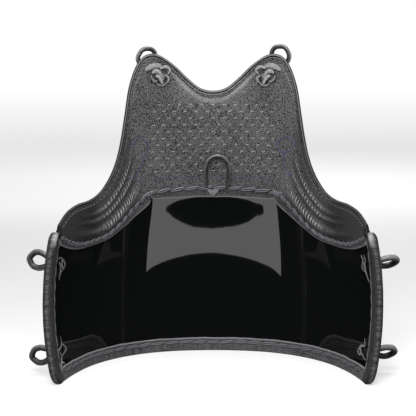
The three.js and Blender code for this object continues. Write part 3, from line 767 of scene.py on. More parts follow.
def buildPiping():
    ends = np.array(piping["ends"])
    points = np.concatenate([ends[::-1] * (-1, 1), outlinePoints[1:-1], ends])
    section = evenSections(points, piping["stations"])
    roll, tuck = piping["rollRadius"], piping["tuckRadius"]
    rollTurns, tuckTurns = (np.radians(np.linspace(*piping[key])) for key in ("rollTurns", "tuckTurns"))
    inset = np.concatenate([roll * (1 + np.cos(rollTurns)), piping["tuckCentre"] + tuck * np.cos(tuckTurns)])
    rise = np.concatenate([roll * np.sin(rollTurns), tuck * np.sin(tuckTurns)])
    # Painted light: the roll's crest gets a painted highlight; its flanks, the tuck and the wings get painted
    # shade
    tone = np.where(rise < -0.75 * roll, piping["crestHighlight"], piping["flankShade"])
    tone[len(rollTurns):] = piping["tuckShade"]
    tone = tone + piping["wingShade"] * easeStep(np.abs(section), *piping["wingSection"])[:, None]
    places = curveAt(points, section)[:, None] + inwardAt(points, section)[:, None] * inset[:, None]
    rings = surface(places[..., 0], places[..., 1], form["wall"] / 2 + rise)
    makePiece("chestPipingRolled", rings, barFaces(len(section), len(inset)), rimLeather,
              ["chest_piping"], sharp=50, tone=tone)


buildPiping()


# Rims

rims = {
    "bottomLeg": 14.5,
    "bottomEdgeRadius": 2.2,
    "rollReach": 9.4,
    "padInside": 4,
    "padOutside": 4.4,
    "rollWrap": 138,  # degrees
    "endTurn": 55,  # degrees
    "sideLeg": 12,
    "fillet": 3,
    "legNarrow": 180,
    "legNarrowing": 0.4,
    "arcSteps": 10,
    "cornerSteps": 25,
    "endSteps": 15,
    "pitch": 1.8,
    "edgeWave": 0.4,
    "faceWave": 0.14,
    "seeds": {"bottom": 0.6, "left": 3.1, "right": 4.4},
}


# Section of a rim: two flat legs on the shell and a bead over its edge, wrap degrees round on each side
def rimSection(shape):
    clearance, leather, wall = form["clearance"], form["leather"], form["wall"]
    leg, reach, radius = shape["leg"], shape["reach"], shape["edgeRadius"]
    face = clearance + leather
    bead = []
    for centre, start, end in ((wall + shape["padOutside"] - radius, shape["wrap"], 0),
                               (radius - shape["padInside"], 0, -shape["wrap"])):
        for turn in np.radians(np.linspace(start, end, rims["arcSteps"] + 1)):
            bead.append((reach - radius + radius * math.cos(turn), centre + radius * math.sin(turn)))
    section = [(-leg, -clearance), (clearance, -clearance), (clearance, wall + clearance),
               (-leg, wall + clearance), (-leg - 0.5, wall + clearance + leather * 0.5), (-leg, wall + face),
               (bead[0][0] - 1.2, wall + face)]
    section += bead
    section += [(bead[-1][0] - 1.2, -face), (-leg * 0.88, -face), (-leg, -face),
                (-leg - 0.5, -clearance - leather * 0.5)]
    return np.array(section)


def blendShape(start, end, share):
    return {key: start[key] + (end[key] - start[key]) * share for key in start}


lip = form["leather"] + form["clearance"]
bottomShape = {"leg": rims["bottomLeg"], "reach": form["bottomThickness"], "padInside": lip,
               "padOutside": lip, "edgeRadius": rims["bottomEdgeRadius"], "wrap": 90}
sideShape = {"leg": rims["sideLeg"], "reach": rims["rollReach"], "padInside": rims["padInside"],
             "padOutside": rims["padOutside"], "wrap": rims["rollWrap"],
             "edgeRadius": (form["wall"] + rims["padInside"] + rims["padOutside"]) / 2 - form["clearance"]}
closedShape = {"leg": form["leather"], "reach": lip, "padInside": lip, "padOutside": lip, "edgeRadius": lip,
               "wrap": 90}
lowCorner = np.array([cornerStart, form["bottomThickness"] + form["corner"]])
highCorner = np.array([cornerStart, form["sideTop"] - form["corner"]])
fillet = np.array([form["halfArc"] - rims["sideLeg"] - rims["fillet"],
                   form["bottomThickness"] + rims["bottomLeg"] + rims["fillet"]])


# Leather folded by hand: its free edge wanders a little and its faces swell between the stitches
def wavedRim(section, run, seed):
    moved = section.copy()
    clear, half = form["clearance"] + 0.01, form["wall"] / 2
    edge = np.clip(-section[:, 0] / rims["bottomLeg"], 0, 1) ** 2
    face = np.where(section[:, 1] < half, -1, 1)
    slot = (section[:, 0] < clear) & (np.abs(section[:, 1] - half) < half + clear)
    moved[:, 0] += rims["edgeWave"] * edge * ripple(run, 0.4 * run, seed)
    moved[:, 1] += np.where(slot, 0, rims["faceWave"] * face * ripple(0.8 * run, 20 * edge, seed + 2))
    return moved


# The folded edge is lighter, faint folds across the bead are painted as light and dark bands, a painted
# highlight runs along a side roll's crown with painted shade beside it, and a painted highlight sits where
# the roll bends over at its top. Crown and highlight are places round the section as shares, spreads are in
# corners or stations.
rimTones = {
    "foldedEdge": 0.5, "folds": 0.14, "crown": 0.33, "crownSpread": 3, "beside": 0.55, "highlightAt": 0.66,
    "highlightSpread": 3, "highlightFromEnd": 13, "highlightLength": 6,
}


def bell(values, centre, spread):
    return np.exp(-((values - centre) / spread) ** 2)


# Painted light and shade of a rim, kept in its tone attribute
def rimTone(stations, corners, bendHighlight=0.0, rolled=0.0):
    tone = np.zeros((stations, corners))
    tone[:, -2:] = rimTones["foldedEdge"]
    place = np.arange(stations)
    folds = np.sin(place * 2.2 + 2 * np.sin(place * 0.31)) * np.sin(place * 0.83 + 1)
    tone[:, 5:-3] += rimTones["folds"] * folds[:, None]
    crown = bell(np.arange(corners - 11), corners * rimTones["crown"], rimTones["crownSpread"])
    tone[:, 7:-4] += rolled * (crown - rimTones["beside"])[None, :]
    bend = bendHighlight * bell(place, stations - rimTones["highlightFromEnd"], rimTones["highlightLength"])
    middle = bell(np.arange(corners), corners * rimTones["highlightAt"], rimTones["highlightSpread"])
    return tone + bend[:, None] * middle[None, :]


def buildRimBottom():
    end = fillet[0] - form["clearance"]
    stations = np.linspace(-end, end, int(2 * end / rims["pitch"]))
    rings = np.array([wavedRim(rimSection(bottomShape), run, rims["seeds"]["bottom"]) for run in stations])
    height = np.maximum(0, form["bottomThickness"] - rings[..., 0])
    points = surface(stations[:, None] + 0 * height, height, rings[..., 1])
    makePiece("rimBottomLeather", points, barFaces(*rings.shape[:2]), stripLeather,
              ["rim_bottom"], tone=rimTone(*rings.shape[:2]))


# Distance from the fillet's middle to the shell's edge, looking outwards
def reachFromFillet(outward):
    down = (fillet[1] - form["bottomThickness"]) / max(1e-6, -outward[1])
    if fillet[0] + outward[0] * down <= cornerStart:
        return down
    aside = (form["halfArc"] - fillet[0]) / max(1e-6, outward[0])
    if fillet[1] + outward[1] * aside >= lowCorner[1]:
        return aside
    back = fillet - lowCorner
    half = float(back @ outward)
    return math.sqrt(half ** 2 - float(back @ back) + form["corner"] ** 2) - half


def rimStations():
    stations = []
    for share in np.linspace(0, 1, rims["cornerSteps"] + 1):
        turn = math.radians(-90 + 90 * share)
        outward = np.array([math.cos(turn), math.sin(turn)])
        reach = reachFromFillet(outward)
        shape = blendShape(bottomShape, sideShape, float(easeStep(share, 0, 1)))
        shape["leg"] = reach - rims["fillet"]
        stations.append((fillet + outward * reach, outward, shape))
    count = int((highCorner[1] - fillet[1]) / rims["pitch"])
    for height in np.linspace(fillet[1], highCorner[1], count)[1:]:
        narrow = float(easeStep(height, rims["legNarrow"], highCorner[1]))
        shape = dict(sideShape, leg=rims["sideLeg"] * (1 - rims["legNarrowing"] * narrow))
        stations.append((np.array([form["halfArc"], height]), np.array([1.0, 0.0]), shape))
    for share in np.sin(np.linspace(0, math.pi / 2, rims["endSteps"] + 1))[1:]:
        turn = math.radians(rims["endTurn"]) * share
        outward = np.array([math.cos(turn), math.sin(turn)])
        closing = blendShape(shape, closedShape, 1 - math.sqrt(1 - (0.97 * share) ** 2))
        stations.append((highCorner + outward * form["corner"], outward, closing))
    return stations


def buildRimSide(word, side):
    rings = []
    places = []
    for count, (edge, outward, shape) in enumerate(rimStations(), 1):
        ring = wavedRim(rimSection(shape), count * rims["pitch"], rims["seeds"][word.lower()])
        rings.append(ring)
        places.append(edge + outward * ring[:, :1])
    rings, places = np.array(rings), np.array(places)
    points = surface(side * places[..., 0], np.maximum(0, places[..., 1]), rings[..., 1])
    makePiece(f"rimRoll{word}", points, barFaces(*rings.shape[:2]), rimLeather,
              [f"rim_{word.lower()}"], sharp=50, tone=rimTone(*rings.shape[:2], 1.0, 0.3))


buildRimBottom()
for word, side in sides:
    buildRimSide(word, side)
print("rims built")


# Leather strips below the joint

strips = {
    "width": 14.5, "split": 0.3, "overlap": 0.02, "wave": 0.35, "swell": 0.12, "endTrim": 2.5, "rows": 7,
    # section from the middle, width as a share
    "widths": [(0, 1), (0.1, 0.91), (0.3, 0.72), (0.36, 0.8), (0.45, 1.0), (0.55, 0.98), (0.65, 0.78),
               (0.75, 0.56), (0.88, 0.45), (1, 0.6)],
    # share of the width below the joint, tone there: painted shade near the joint, lighter at the lower edge
    "tones": [(0, -0.75), (0.35, -0.1), (0.84, 0.06), (1, 0.65)],
    "endTone": 0.4,
}


def buildStrip(name, start, end, node, seed):
    section = evenSections(jointPoints, int(abs(end - start) * 150) + 2, start, end)
    run = section * form["halfArc"]
    width = strips["width"] * np.interp(np.abs(section), *np.transpose(strips["widths"]))
    width = width + strips["wave"] * ripple(run, 0.3 * run, seed)
    width[[0, -1]] -= strips["endTrim"]
    below = np.linspace(0, 1, strips["rows"])
    depth = form["seamGap"] + (width[:, None] - form["seamGap"]) * below
    inward = inwardAt(jointPoints, section)[:, None]
    place = curveAt(jointPoints, section)[:, None] + inward * depth[..., None]
    swell = strips["swell"] * ripple(run[:, None] * 1.3, 3 * depth, seed)
    edge = np.minimum(1, np.sqrt(np.minimum(below, 1 - below) * 8))[None, :]
    top = -form["clearance"] - form["leather"] * (0.6 + 0.4 * edge) + swell * edge
    points = [surface(place[..., 0], place[..., 1], top),
              surface(place[..., 0], place[..., 1], np.full(top.shape, -form["clearance"]))]
    # Painted shade along the joint's side of the strip, lighter towards its folded lower edge and at its ends
    tone = np.interp(below, *np.transpose(strips["tones"]))[None] + 0 * depth
    tone[[0, -1]] = strips["endTone"]
    makePiece(name, points, wallFaces(*depth.shape), stripLeather, [node],
              tone=[tone, 0 * tone])


split = strips["split"]
buildStrip("seamStripCentre", -split, split, "seam_strip_centre", 2.0)
buildStrip("seamStripLeft", -1, -split - strips["overlap"], "seam_strip_left", 4.1)
buildStrip("seamStripRight", split + strips["overlap"], 1, "seam_strip_right", 5.3)
print("strips built")


# Stitches and lacing: small closed forms set along a path by Geometry Nodes

def stitchForm(name, taper, valley, across=8, lengthways=12):
    length = np.linspace(-0.5, 0.5, lengthways + 1)
    half = 0.5 * np.maximum(0.12, (1 - np.abs(2 * length) ** taper)) ** 0.5
    turn = np.linspace(-1, 1, across + 1)
    x = length[:, None] + 0 * turn
    y = half[:, None] * turn
    strands = 1 - valley * (1 - np.abs(np.sin(math.pi * turn)))
    z = (np.sqrt(1 - 0.8 * turn ** 2) * strands)[None, :] * (half[:, None] / 0.5) ** 0.6
    points = np.concatenate([np.stack([x, y, z], -1), np.stack([x, y, 0 * z - 0.05], -1)])
    mesh = bpy.data.meshes.new(name)
    mesh.from_pydata(points.reshape(-1, 3).tolist(), [],
                     [face[::-1] for face in wallFaces(lengthways + 1, across + 1)])
    # Painted light: strand crests lighter as a painted highlight, the valley between strands and the
    # underside darker as painted shade
    tone = (1.9 * strands - 1.2 if valley else 0 * strands)[None, :] + 0 * x
    keepNumbers(mesh, "tone", [tone, 0 * tone - valley])
    mesh.shade_smooth()
    stitch = bpy.data.objects.new(name, mesh)
    helpers.objects.link(stitch)
    return stitch


def newTree(name, sockets):
    tree = bpy.data.node_groups.new(name, "GeometryNodeTree")
    tree.interface.new_socket(name="Geometry", in_out="INPUT", socket_type="NodeSocketGeometry")
    for socketName, kind in sockets.items():
        tree.interface.new_socket(name=socketName, in_out="INPUT", socket_type="NodeSocket" + kind)
    tree.interface.new_socket(name="Geometry", in_out="OUTPUT", socket_type="NodeSocketGeometry")
    given = addNode(tree, "NodeGroupInput").outputs
    return tree, given, addNode(tree, "GeometryNodeMeshToCurve", {"Mesh": given["Geometry"]})


def finishTree(tree, made, material):
    real = addNode(tree, "GeometryNodeRealizeInstances", {"Geometry": made})
    coloured = addNode(tree, "GeometryNodeSetMaterial", {"Geometry": real, "Material": material})
    addNode(tree, "NodeGroupOutput", {"Geometry": coloured})
    return tree


def stitchTree():
    tree, given, path = newTree("stitchesAlongPath", {
        "Stitch": "Object", "Pitch": "Float", "Size": "Vector", "Tilt": "Float", "Jitter": "Float",
        "Seed": "Int", "Material": "Material"})
    stitch = addNode(tree, "GeometryNodeObjectInfo", {"Object": given["Stitch"]})
    even = addNode(tree, "GeometryNodeResampleCurve", {
        "Curve": path, "Length": given["Pitch"]}, mode="LENGTH")
    outward = addNode(tree, "GeometryNodeInputNamedAttribute", {
        "Name": "outward"}, data_type="FLOAT_VECTOR")
    tangent = addNode(tree, "GeometryNodeInputTangent")
    lie = addNode(tree, "FunctionNodeAxesToRotation", {
        "Primary Axis": outward, "Secondary Axis": tangent}, primary_axis="Z", secondary_axis="X")
    less = addNode(tree, "ShaderNodeMath", {0: given["Jitter"], 1: -1.0}, operation="MULTIPLY")
    wobble = addNode(tree, "FunctionNodeRandomValue", {
        2: less, 3: given["Jitter"], "Seed": given["Seed"]}, data_type="FLOAT")
    tilt = addNode(tree, "ShaderNodeMath", {0: wobble, 1: given["Tilt"]}, operation="ADD")
    turn = addNode(tree, "ShaderNodeCombineXYZ", {"Z": tilt})
    turned = addNode(tree, "FunctionNodeEulerToRotation", {"Euler": turn})
    rotation = addNode(tree, "FunctionNodeRotateRotation", {
        "Rotation": lie, "Rotate By": turned}, rotation_space="LOCAL")
    grow = addNode(tree, "FunctionNodeRandomValue", {
        2: 0.92, 3: 1.05, "Seed": given["Seed"]}, data_type="FLOAT")
    size = addNode(tree, "ShaderNodeVectorMath", {0: given["Size"], "Scale": grow}, operation="SCALE")
    placed = addNode(tree, "GeometryNodeInstanceOnPoints", {
        "Points": even, "Instance": stitch.outputs["Geometry"], "Rotation": rotation, "Scale": size})
    return finishTree(tree, placed, given["Material"])


# A rolled leather cord along a path, with an uneven skin
def cordTree():
    tree, given, path = newTree("rolledCordAlongPath", {
        "Radius": "Float", "Sides": "Int", "Unevenness": "Float", "Seed": "Int", "Material": "Material"})
    ring = addNode(tree, "GeometryNodeCurvePrimitiveCircle", {
        "Resolution": given["Sides"], "Radius": given["Radius"]})
    tube = addNode(tree, "GeometryNodeCurveToMesh", {"Curve": path, "Profile Curve": ring, "Fill Caps": True})
    noise = addNode(tree, "ShaderNodeTexNoise", {
        "W": given["Seed"], "Scale": 160.0, "Detail": 1.0}, noise_dimensions="4D")
    level = addNode(tree, "ShaderNodeMath", {0: noise, 1: -0.5}, operation="ADD")
    amount = addNode(tree, "ShaderNodeMath", {0: level, 1: given["Unevenness"]}, operation="MULTIPLY")
    normal = addNode(tree, "GeometryNodeInputNormal")
    push = addNode(tree, "ShaderNodeVectorMath", {0: normal, "Scale": amount}, operation="SCALE")
    skin = addNode(tree, "GeometryNodeSetPosition", {"Geometry": tube, "Offset": push})
    return finishTree(tree, skin, given["Material"])


stitches = stitchTree()
cords = cordTree()
helpers = bpy.data.collections.new("helpers")
leafForm = stitchForm("leafStitch", 2.2, 0.7, 12, 14)
threadForm = stitchForm("threadStitch", 3.0, 0.0, 6, 6)


# Runs a node tree over paths and keeps the result as a plain mesh. Each path is (points, outward normals).
def growPiece(name, tree, paths, settings, replaced=(), sharp=60):
    points = np.concatenate([p for p, _ in paths])
    normals = np.concatenate([n for _, n in paths])
    edges = []
    first = 0
    for path, _ in paths:
        edges += [(first + k, first + k + 1) for k in range(len(path) - 1)]
        first += len(path)
    mesh = bpy.data.meshes.new(name + "Path")
    mesh.from_pydata(points.tolist(), edges, [])
    attribute = mesh.attributes.new("outward", "FLOAT_VECTOR", "POINT")
    attribute.data.foreach_set("vector", normals.ravel())
    source = bpy.data.objects.new(name + "Path", mesh)
    scene.collection.objects.link(source)
    modifier = source.modifiers.new("grow", "NODES")
    modifier.node_group = tree
    for item in tree.interface.items_tree:
        if item.in_out == "INPUT" and item.name in settings:
            modifier[item.identifier] = settings[item.name]
    bpy.context.view_layer.update()
    graph = bpy.context.evaluated_depsgraph_get()
    result = bpy.data.meshes.new_from_object(source.evaluated_get(graph), depsgraph=graph)
    source.modifiers.remove(modifier)
    bpy.data.objects.remove(source)
    result.name = name
    result.shade_smooth()
    result.set_sharp_from_angle(angle=math.radians(sharp))
    return finishPiece(bpy.data.objects.new(name, result), replaced)


def surfacePath(places, offset):
    places = np.asarray(places, float)
    along, height = places[:, 0], places[:, 1]
    return surface(along, height, offset), -outwardAt(along, height)


# Sews a small form along the paths: sizes in millimetres, tilt and jitter in radians
def sew(name, stitch, paths, pitch, size, tilt, jitter, seed, material, nodes=()):
    growPiece(name, stitches, paths, {
        "Stitch": stitch, "Pitch": pitch * mm, "Size": tuple(part * mm for part in size), "Tilt": tilt,
        "Jitter": jitter, "Seed": seed, "Material": material}, nodes)


# Leaf-shaped laps of thong. Length, width, height, pitch, tilt in degrees, jitter in radians, seed
laces = {
    "leaf": (20.5, 6.2, 2.2, 18.5, 9, 0.03, 3),
    "wing": (13, 6.2, 2.2, 12.4, 13, 0.03, 3),
    "bottom": (20, 5, 1.6, 19.5, 5, 0.03, 5),
    "side": (17, 2.6, 1.3, 18, 4, 0.04, 8),
}
laceRoutes = {"bottomHeight": 12.5, "bottomEnd": 262, "sideAlong": 287.6, "sideLow": 20, "sideHigh": 186,
              "leatherFace": -2.6}


def lace(name, kind, places, node, side=1):
    length, width, height, pitch, tilt, jitter, seed = laces[kind]
    path = surfacePath(places, laceRoutes["leatherFace"])
    sew(name, leafForm, [path], pitch, (length, width, height), math.radians(tilt) * side, jitter, seed,
        laceLeather, [node])


def buildLacing():
    for word, start, end, kind, side in (("Centre", -split, split, "leaf", 1),
                                         ("Left", -1, -split - 0.01, "wing", 1),
                                         ("Right", split + 0.01, 1, "wing", -1)):
        places = curveAt(jointPoints, evenSections(jointPoints, 200, start, end))
        lace(f"seamLace{word}", kind, places, f"lace_{word.lower()}", side)
    along = np.linspace(-laceRoutes["bottomEnd"], laceRoutes["bottomEnd"], 300)
    places = np.stack([along, laceRoutes["bottomHeight"] + 0.5 * ripple(along, 0.2 * along, 5)], -1)
    lace("bottomLace", "bottom", places, "lace_bottom")
    for word, side in sides:
        height = np.linspace(laceRoutes["sideLow"], laceRoutes["sideHigh"], 120)
        along = side * (laceRoutes["sideAlong"] + 0.3 * ripple(height, 0.3 * height, 6))
        lace(f"sideLace{word}", "side", np.stack([along, height], -1), f"lace_side_{word.lower()}")


buildLacing()
print("lacing built")


# Thread: the edge seam, the seam over the joint, the diamond quilting and the cloud lines

# Pitch, length of a stitch, its thickness as a share, tilt and jitter in radians, seed, thread
seams = {
    "edgeStitches": (6.8, 4.6, 1.2, 0.12, 0.06, 7, greyThread),
    "seamStitches": (5, 3.4, 1.0, 0.1, 0.05, 9, purpleThread),
    "quiltDots": (20, 1.9, 1.3, 0.0, 0.1, 11, paleThread),
    "cloudStitches": (2.6, 2.9, 1.5, 0.05, 0.03, 13, purpleThread),
}
threads = {
    "width": 1.1, "height": 0.7, "edgeSection": 0.985, "edgeOffset": -1.45,
    "seamEnd": 95, "seamHeight": 255.3, "seamDrop": 5, "seamDropFrom": 88, "seamDropTo": 96,
    "seamOffset": -2.6,
    "dotOffset": -2.35, "dotColumns": 8, "dotLength": 2.6, "dotRise": 0.4, "cloudOffset": -2.7,
}


def sewThread(name, paths):
    pitch, length, share, tilt, jitter, seed, thread = seams[name]
    size = (length, threads["width"] * share, threads["height"] * share)
    sew(name, threadForm, paths, pitch, size, tilt, jitter, seed, thread)


def buildThreads():
    section = evenSections(outlinePoints, 900, -threads["edgeSection"], threads["edgeSection"])
    inset = np.full(len(section), panel["grooveInset"] + panelInset)
    sewThread("edgeStitches", [surfacePath(insetAt(outlinePoints, section, inset), threads["edgeOffset"])])
    along = np.linspace(-threads["seamEnd"], threads["seamEnd"], 120)
    fallen = (np.abs(along) - threads["seamDropFrom"]) / (threads["seamDropTo"] - threads["seamDropFrom"])
    height = threads["seamHeight"] - threads["seamDrop"] * np.clip(fallen, 0, 1)
    sewThread("seamStitches", [surfacePath(np.stack([along, height], -1), threads["seamOffset"])])
    dots = []
    rowCount = int((panel["quiltTop"] - panel["quiltFoot"]) / panel["quiltUp"] * 2) + 1
    reach, rise = threads["dotLength"] / 2, threads["dotRise"] / 2
    for row in range(rowCount):
        height = panel["quiltFoot"] + row * panel["quiltUp"] / 2
        for column in range(-threads["dotColumns"], threads["dotColumns"] + 1):
            along = (column + 0.5 * (row % 2)) * panel["quiltAlong"]
            if abs(along) <= panel["quiltHalf"]:
                ends = [(along - reach, height - rise), (along + reach, height + rise)]
                dots.append(surfacePath(ends, threads["dotOffset"]))
    sewThread("quiltDots", dots)


buildThreads()
print("threads built")


# Loops

def smoothPath(points, count):
    return curveAt(np.asarray(points, float), np.linspace(-1, 1, count))


loops = {
    # along and height of the root, then turn and rise in degrees on the left and on the right
    "upper": (262, 155, (8, 0), (48, -5)),
    "lower": (264, 36, (-5, -8), (42, 2)),
    "top": {"along": 92.8, "height": 404.3, "aside": 11.8, "up": 20, "radius": 3.2, "halfWidth": 12.8},
    "topLengths": {-1: 38, 1: 42},
    "side": {"radius": 4.1, "length": 45, "halfWidth": 10.3},
    # out as a share of the length, aside as a share of the half width past the neck
    "route": [(0, 0), (0.2, 0.06), (0.42, 0.5), (0.62, 1), (0.82, 0.86), (0.95, 0.45)],
    "sides": 20,
    "unevenness": 0.5,
}


def loopPath(base, outward, aside, size):
    neck = size["radius"] + form["clearance"]
    reach = size["length"] - size["radius"]
    half = []
    for out, share in loops["route"]:
        wide = size["halfWidth"] * share if out > 0.9 else neck + (size["halfWidth"] - neck) * share
        half.append((out * reach, wide))
    route = [(out, -wide) for out, wide in half] + [(reach, 0)] + half[::-1]
    return smoothPath([base + (outward * out + aside * wide) * mm for out, wide in route], 90)


def surfaceAxes(along, height):
    outward = outwardAt(along, height)
    sideways = surface(along + 0.5, height, 0) - surface(along - 0.5, height, 0)
    sideways = sideways / np.linalg.norm(sideways)
    upward = np.cross(sideways, outward)
    upward = upward * np.sign(upward[2])
    return outward, sideways, upward


# Painted light on a loop: the outside of a bend gets a painted highlight, its inside painted shade
def paintBendLight(piece, path):
    corners = np.zeros(len(piece.data.vertices) * 3)
    piece.data.vertices.foreach_get("co", corners)
    corners = corners.reshape(-1, 3)
    nearest = np.argmin(np.linalg.norm(corners[:, None] - path[None], axis=-1), axis=1)
    away = path[nearest] - path.mean(axis=0)
    away = away / np.linalg.norm(away, axis=1, keepdims=True)
    side = corners - path[nearest]
    side = side / np.maximum(1e-9, np.linalg.norm(side, axis=1, keepdims=True))
    lie = np.sum(side * away, axis=1)
    keepNumbers(piece.data, "tone", np.where(lie > 0, 0.5 * lie ** 2, 0.7 * lie))


def buildLoop(name, path, radius, node, seed):
    normals = np.tile([0.0, -1.0, 0.0], (len(path), 1))
    piece = growPiece(name, cords, [(path, normals)], {
        "Radius": radius * mm, "Sides": loops["sides"], "Unevenness": loops["unevenness"] * mm, "Seed": seed,
        "Material": loopLeather}, [node])
    paintBendLight(piece, path)


def buildTopLoop(word, side):
    size = dict(loops["top"], length=loops["topLengths"][side])
    along, height = side * size["along"], size["height"]
    outward, sideways, upward = surfaceAxes(along, height)
    base = surface(along, height, form["wall"] + panel["proud"] + form["clearance"] + size["radius"])
    direction = sideways * side * size["aside"] + upward * size["up"]
    direction = direction / np.linalg.norm(direction)
    path = loopPath(base, direction, np.cross(outward, direction), size)
    buildLoop(f"topLoop{word}", path, size["radius"], f"loop_top_{word.lower()}", 20 + side)


def buildSideLoop(level, word, side):
    girth, height, lieLeft, lieRight = loops[level]
    radius = loops["side"]["radius"]
    outward, sideways, upward = surfaceAxes(side * girth, height)
    turn, rise = (math.radians(angle) for angle in (lieLeft if side < 0 else lieRight))
    stand = 2 * form["clearance"] + 1.3 * radius * abs(math.sin(rise))
    base = surface(side * girth, height, form["wall"] + stand)
    leading = outward * math.cos(rise) + upward * math.sin(rise)
    lifted = upward * math.cos(rise) - outward * math.sin(rise)
    path = loopPath(base, leading, lifted * math.cos(turn) + sideways * math.sin(turn), loops["side"])
    buildLoop(f"{level}Loop{word}", path, radius, f"loop_{level}_{word.lower()}", 30 + side)


for word, side in sides:
    buildTopLoop(word, side)
    for level in ("upper", "lower"):
        buildSideLoop(level, word, side)

centreLoop = {"radius": 17, "height": 43, "offset": 6.7, "cord": 2.7, "foot": 243, "standOff": -5.3,
              "sides": 18, "unevenness": 0.4, "seed": 41}


def buildCentreLoop():
    radius, foot = centreLoop["radius"], centreLoop["foot"]
    springing = foot + centreLoop["height"] - radius
    middleHeight = (foot + springing) / 2
    places = [(-radius, foot), (-radius * 1.04, middleHeight), (-radius, springing)]
    for turn in np.radians([-60, -30, 0, 30, 60]):
        places.append((radius * math.sin(turn), springing + radius * math.cos(turn)))
    places += [(radius, springing), (radius * 1.02, middleHeight), (radius * 0.9, foot)]
    flat = smoothPath(places, 90) + (centreLoop["offset"], 0)
    path, normals = surfacePath(flat, centreLoop["standOff"])
    piece = growPiece("centreLoopCord", cords, [(path, normals)], {
        "Radius": centreLoop["cord"] * mm, "Sides": centreLoop["sides"],
        "Unevenness": centreLoop["unevenness"] * mm, "Seed": centreLoop["seed"], "Material": loopLeather,
    }, ["centre_loop"])
    paintBendLight(piece, path)


buildCentreLoop()
print("loops built")


# Knots: flattened strands of thong laid over one another on the inside

# Each strand: its places along and in height, half its width, its thickness, how far it is lifted, its tone
topKnot = [
    # The first strand is a dark backing patch under the knot: a painted shadow
    ([(107, 397), (98, 398), (86, 399), (74, 400)], 9.5, 0.8, -0.2, -0.75),
    ([(118, 407), (108, 411), (96, 413), (86, 411.5)], 4.2, 2.6, 0.3, 0.1),
    ([(107, 400), (103, 394), (98, 391.5), (93, 392)], 2.2, 2.4, 0.6, -0.1),
    ([(95, 389), (88.7, 385.8), (80, 386.8), (76, 390)], 2.1, 2.4, 0.6, -0.15),
    ([(79, 400), (72.5, 395.5), (75, 389.5)], 2.5, 2.6, 0.9, 0),
    ([(89, 408.5), (82, 411), (76, 410.8), (70.5, 406.3), (75, 401)], 2.5, 2.6, 0.9, 0.1),
    ([(105, 403), (99, 405.5), (91, 404), (84, 396)], 3.4, 3.2, 1.4, 0.1),
    ([(98, 399.5), (92, 397.5), (86, 391.5), (84.5, 388)], 3.0, 3.0, 2.2, 0.15),
    ([(84, 402), (82, 398), (84, 393)], 2.2, 2.6, 2.2, -0.2),
]
sideKnots = {
    "lower_left": [
        ([(269.4, 58.5), (268.1, 47.4), (276, 43.5), (280.9, 42.2), (277, 37), (273.1, 33.1)],
         1.3, 1.8, 0.4, -0.2),
        ([(273.1, 33.1), (262, 36), (258.4, 39.2), (262, 43.5), (268.1, 47.4)], 1.3, 1.8, 1.2, -0.2),
        ([(273.1, 33.1), (277.7, 26.4), (282.5, 18), (283, 13)], 1.6, 2.0, 0.6, -0.2),
        ([(277.7, 26.4), (272, 23.5), (267.1, 20.7)], 1.4, 1.6, 0.3, -0.1),
        ([(277.7, 26.4), (280.8, 20.1)], 1.2, 1.6, 1.4, 0),
    ],
    "upper_left": [
        ([(278.6, 162.8), (272, 165), (265.6, 162.5), (258, 158), (253.2, 152.3), (256, 148), (260.6, 146.6),
          (266, 142), (268.9, 133.9)], 1.4, 1.9, 0.4, -0.25),
        ([(265.6, 162.5), (266, 155), (260.6, 146.6)], 1.8, 2.0, 1.4, -0.1),
        ([(275, 160), (270, 154), (268, 146), (272, 139)], 1.6, 1.9, 0.9, -0.3),
    ],
    "upper_right": [
        ([(255.5, 165.7), (260.6, 159.4), (255.5, 149.9)], 1.6, 1.9, 0.4, -0.2),
        ([(260.6, 159.4), (268, 152), (268.4, 146), (273, 141.3)], 1.8, 1.9, 1.2, -0.1),
        ([(255.5, 149.9), (262, 146), (268.4, 146)], 1.5, 1.9, 1.0, -0.25),
        ([(264, 168), (269, 160), (263, 153), (270, 140), (277, 133)], 1.4, 1.9, 0.3, -0.3),
    ],
    "lower_right": [
        ([(266.9, 54.9), (271.2, 46.1), (262, 42), (250.9, 35.2), (258, 30.5), (265.2, 33), (273.8, 29.6),
          (281.9, 28.9)], 1.4, 1.9, 0.4, -0.2),
        ([(271.2, 46.1), (258.7, 41.4), (265.2, 33)], 1.6, 1.9, 1.4, -0.1),
    ],
}


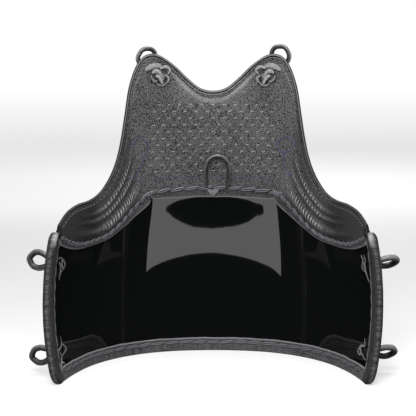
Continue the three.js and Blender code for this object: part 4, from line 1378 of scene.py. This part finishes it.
def buildKnot(name, strands, side, face, node):
    stations, corners = 26, 12
    turns = np.linspace(0, 2 * math.pi, corners, endpoint=False)
    taper = np.sin(np.linspace(0.12, math.pi - 0.12, stations))[:, None] ** 0.45
    points, faces, tones = [], [], []
    for places, halfWidth, thickness, lift, level in strands:
        path = smoothPath(np.array(places) * (side, 1), stations)
        run = np.gradient(path, axis=0)
        run = run / np.linalg.norm(run, axis=1, keepdims=True)
        aside = np.stack([run[:, 1], -run[:, 0]], -1)
        wide = halfWidth * taper * np.cos(turns)
        out = face - lift - thickness / 2 * (1 + taper * np.sin(turns))
        spots = path[:, None] + aside[:, None] * wide[..., None]
        first = len(points) * stations * corners
        points.append(surface(spots[..., 0], spots[..., 1], out).reshape(-1, 3))
        faces += [tuple(first + index for index in shape) for shape in barFaces(stations, corners)]
        # Painted light: each strand lighter on its raised face and darker underneath, and its tone shifts it
        # lighter or darker as a whole
        tones.append(np.tile(level + 0.55 * np.sin(turns) - 0.3, (stations, 1)))
    makePiece(name, np.concatenate(points), faces, knotLeather, [node], sharp=60,
              tone=np.concatenate(tones))


for word, side in (("left", -1), ("right", 1)):
    buildKnot(f"topKnot{word.title()}", topKnot, side, -panel["proud"] - 0.2, f"knot_top_{word}")
    for level in ("upper", "lower"):
        strands = sideKnots[f"{level}_{word}"]
        buildKnot(f"{level}Knot{word.title()}", strands, side, -0.3, f"knot_{level}_{word}")


# A gathered leather tab under the centre loop: its pleats have painted highlights on the crests and painted
# shade in the hollows

tab = {"halfWidth": 9.5, "height": 9.5, "top": 237.5, "pleats": 5, "fold": 0.7, "thickness": 1.2,
       "face": -2.7}


def buildTab():
    across, down = np.linspace(-1, 1, 41)[:, None], np.linspace(0, 1, 9)[None, :]
    along = across * tab["halfWidth"] * (1 - 0.8 * down)
    height = tab["top"] - tab["height"] * down + 0 * along
    fold = np.cos(across * tab["pleats"] * math.pi) * (0.3 + 0.7 * down)
    top = tab["face"] - tab["thickness"] - tab["fold"] * (1 + fold)
    points = [surface(along, height, top), surface(along, height, tab["face"] + 0 * top)]
    # Painted light: pleat crests lighter, hollows darker
    makePiece("gatheredTab", points, wallFaces(*along.shape), knotLeather, ["centre_tab"],
              sharp=60, tone=[0.8 * fold + 0.1, 0 * top])


buildTab()

# Two cloud figures in thread, one at each side of the quilting
cloudLines = [
    [(-131.7, 301.6), (-132.2, 305.9), (-129.3, 310.8), (-121.7, 314.7), (-112.6, 311), (-104.5, 305.3),
     (-104.5, 298.9), (-108.6, 290.3), (-111.9, 280.9), (-115.1, 271.6), (-120.1, 260.5)],
    [(-134.9, 258.9), (-132.1, 260.6), (-127.1, 263.1), (-121.2, 258.4), (-116.3, 254.3), (-108.1, 252.9)],
    [(112.6, 291.5), (101.5, 304.5), (110, 312), (122.3, 316.5), (131, 312), (134.3, 305.9), (128, 298),
     (120, 294.7)],
    [(120, 294.7), (112.6, 291.5), (113.5, 275), (116.2, 259.6), (124, 264), (131, 259)],
]
sewThread("cloudStitches", [surfacePath(smoothPath(line, 90), threads["cloudOffset"]) for line in cloudLines])
print("knots, tab and cloud lines built")
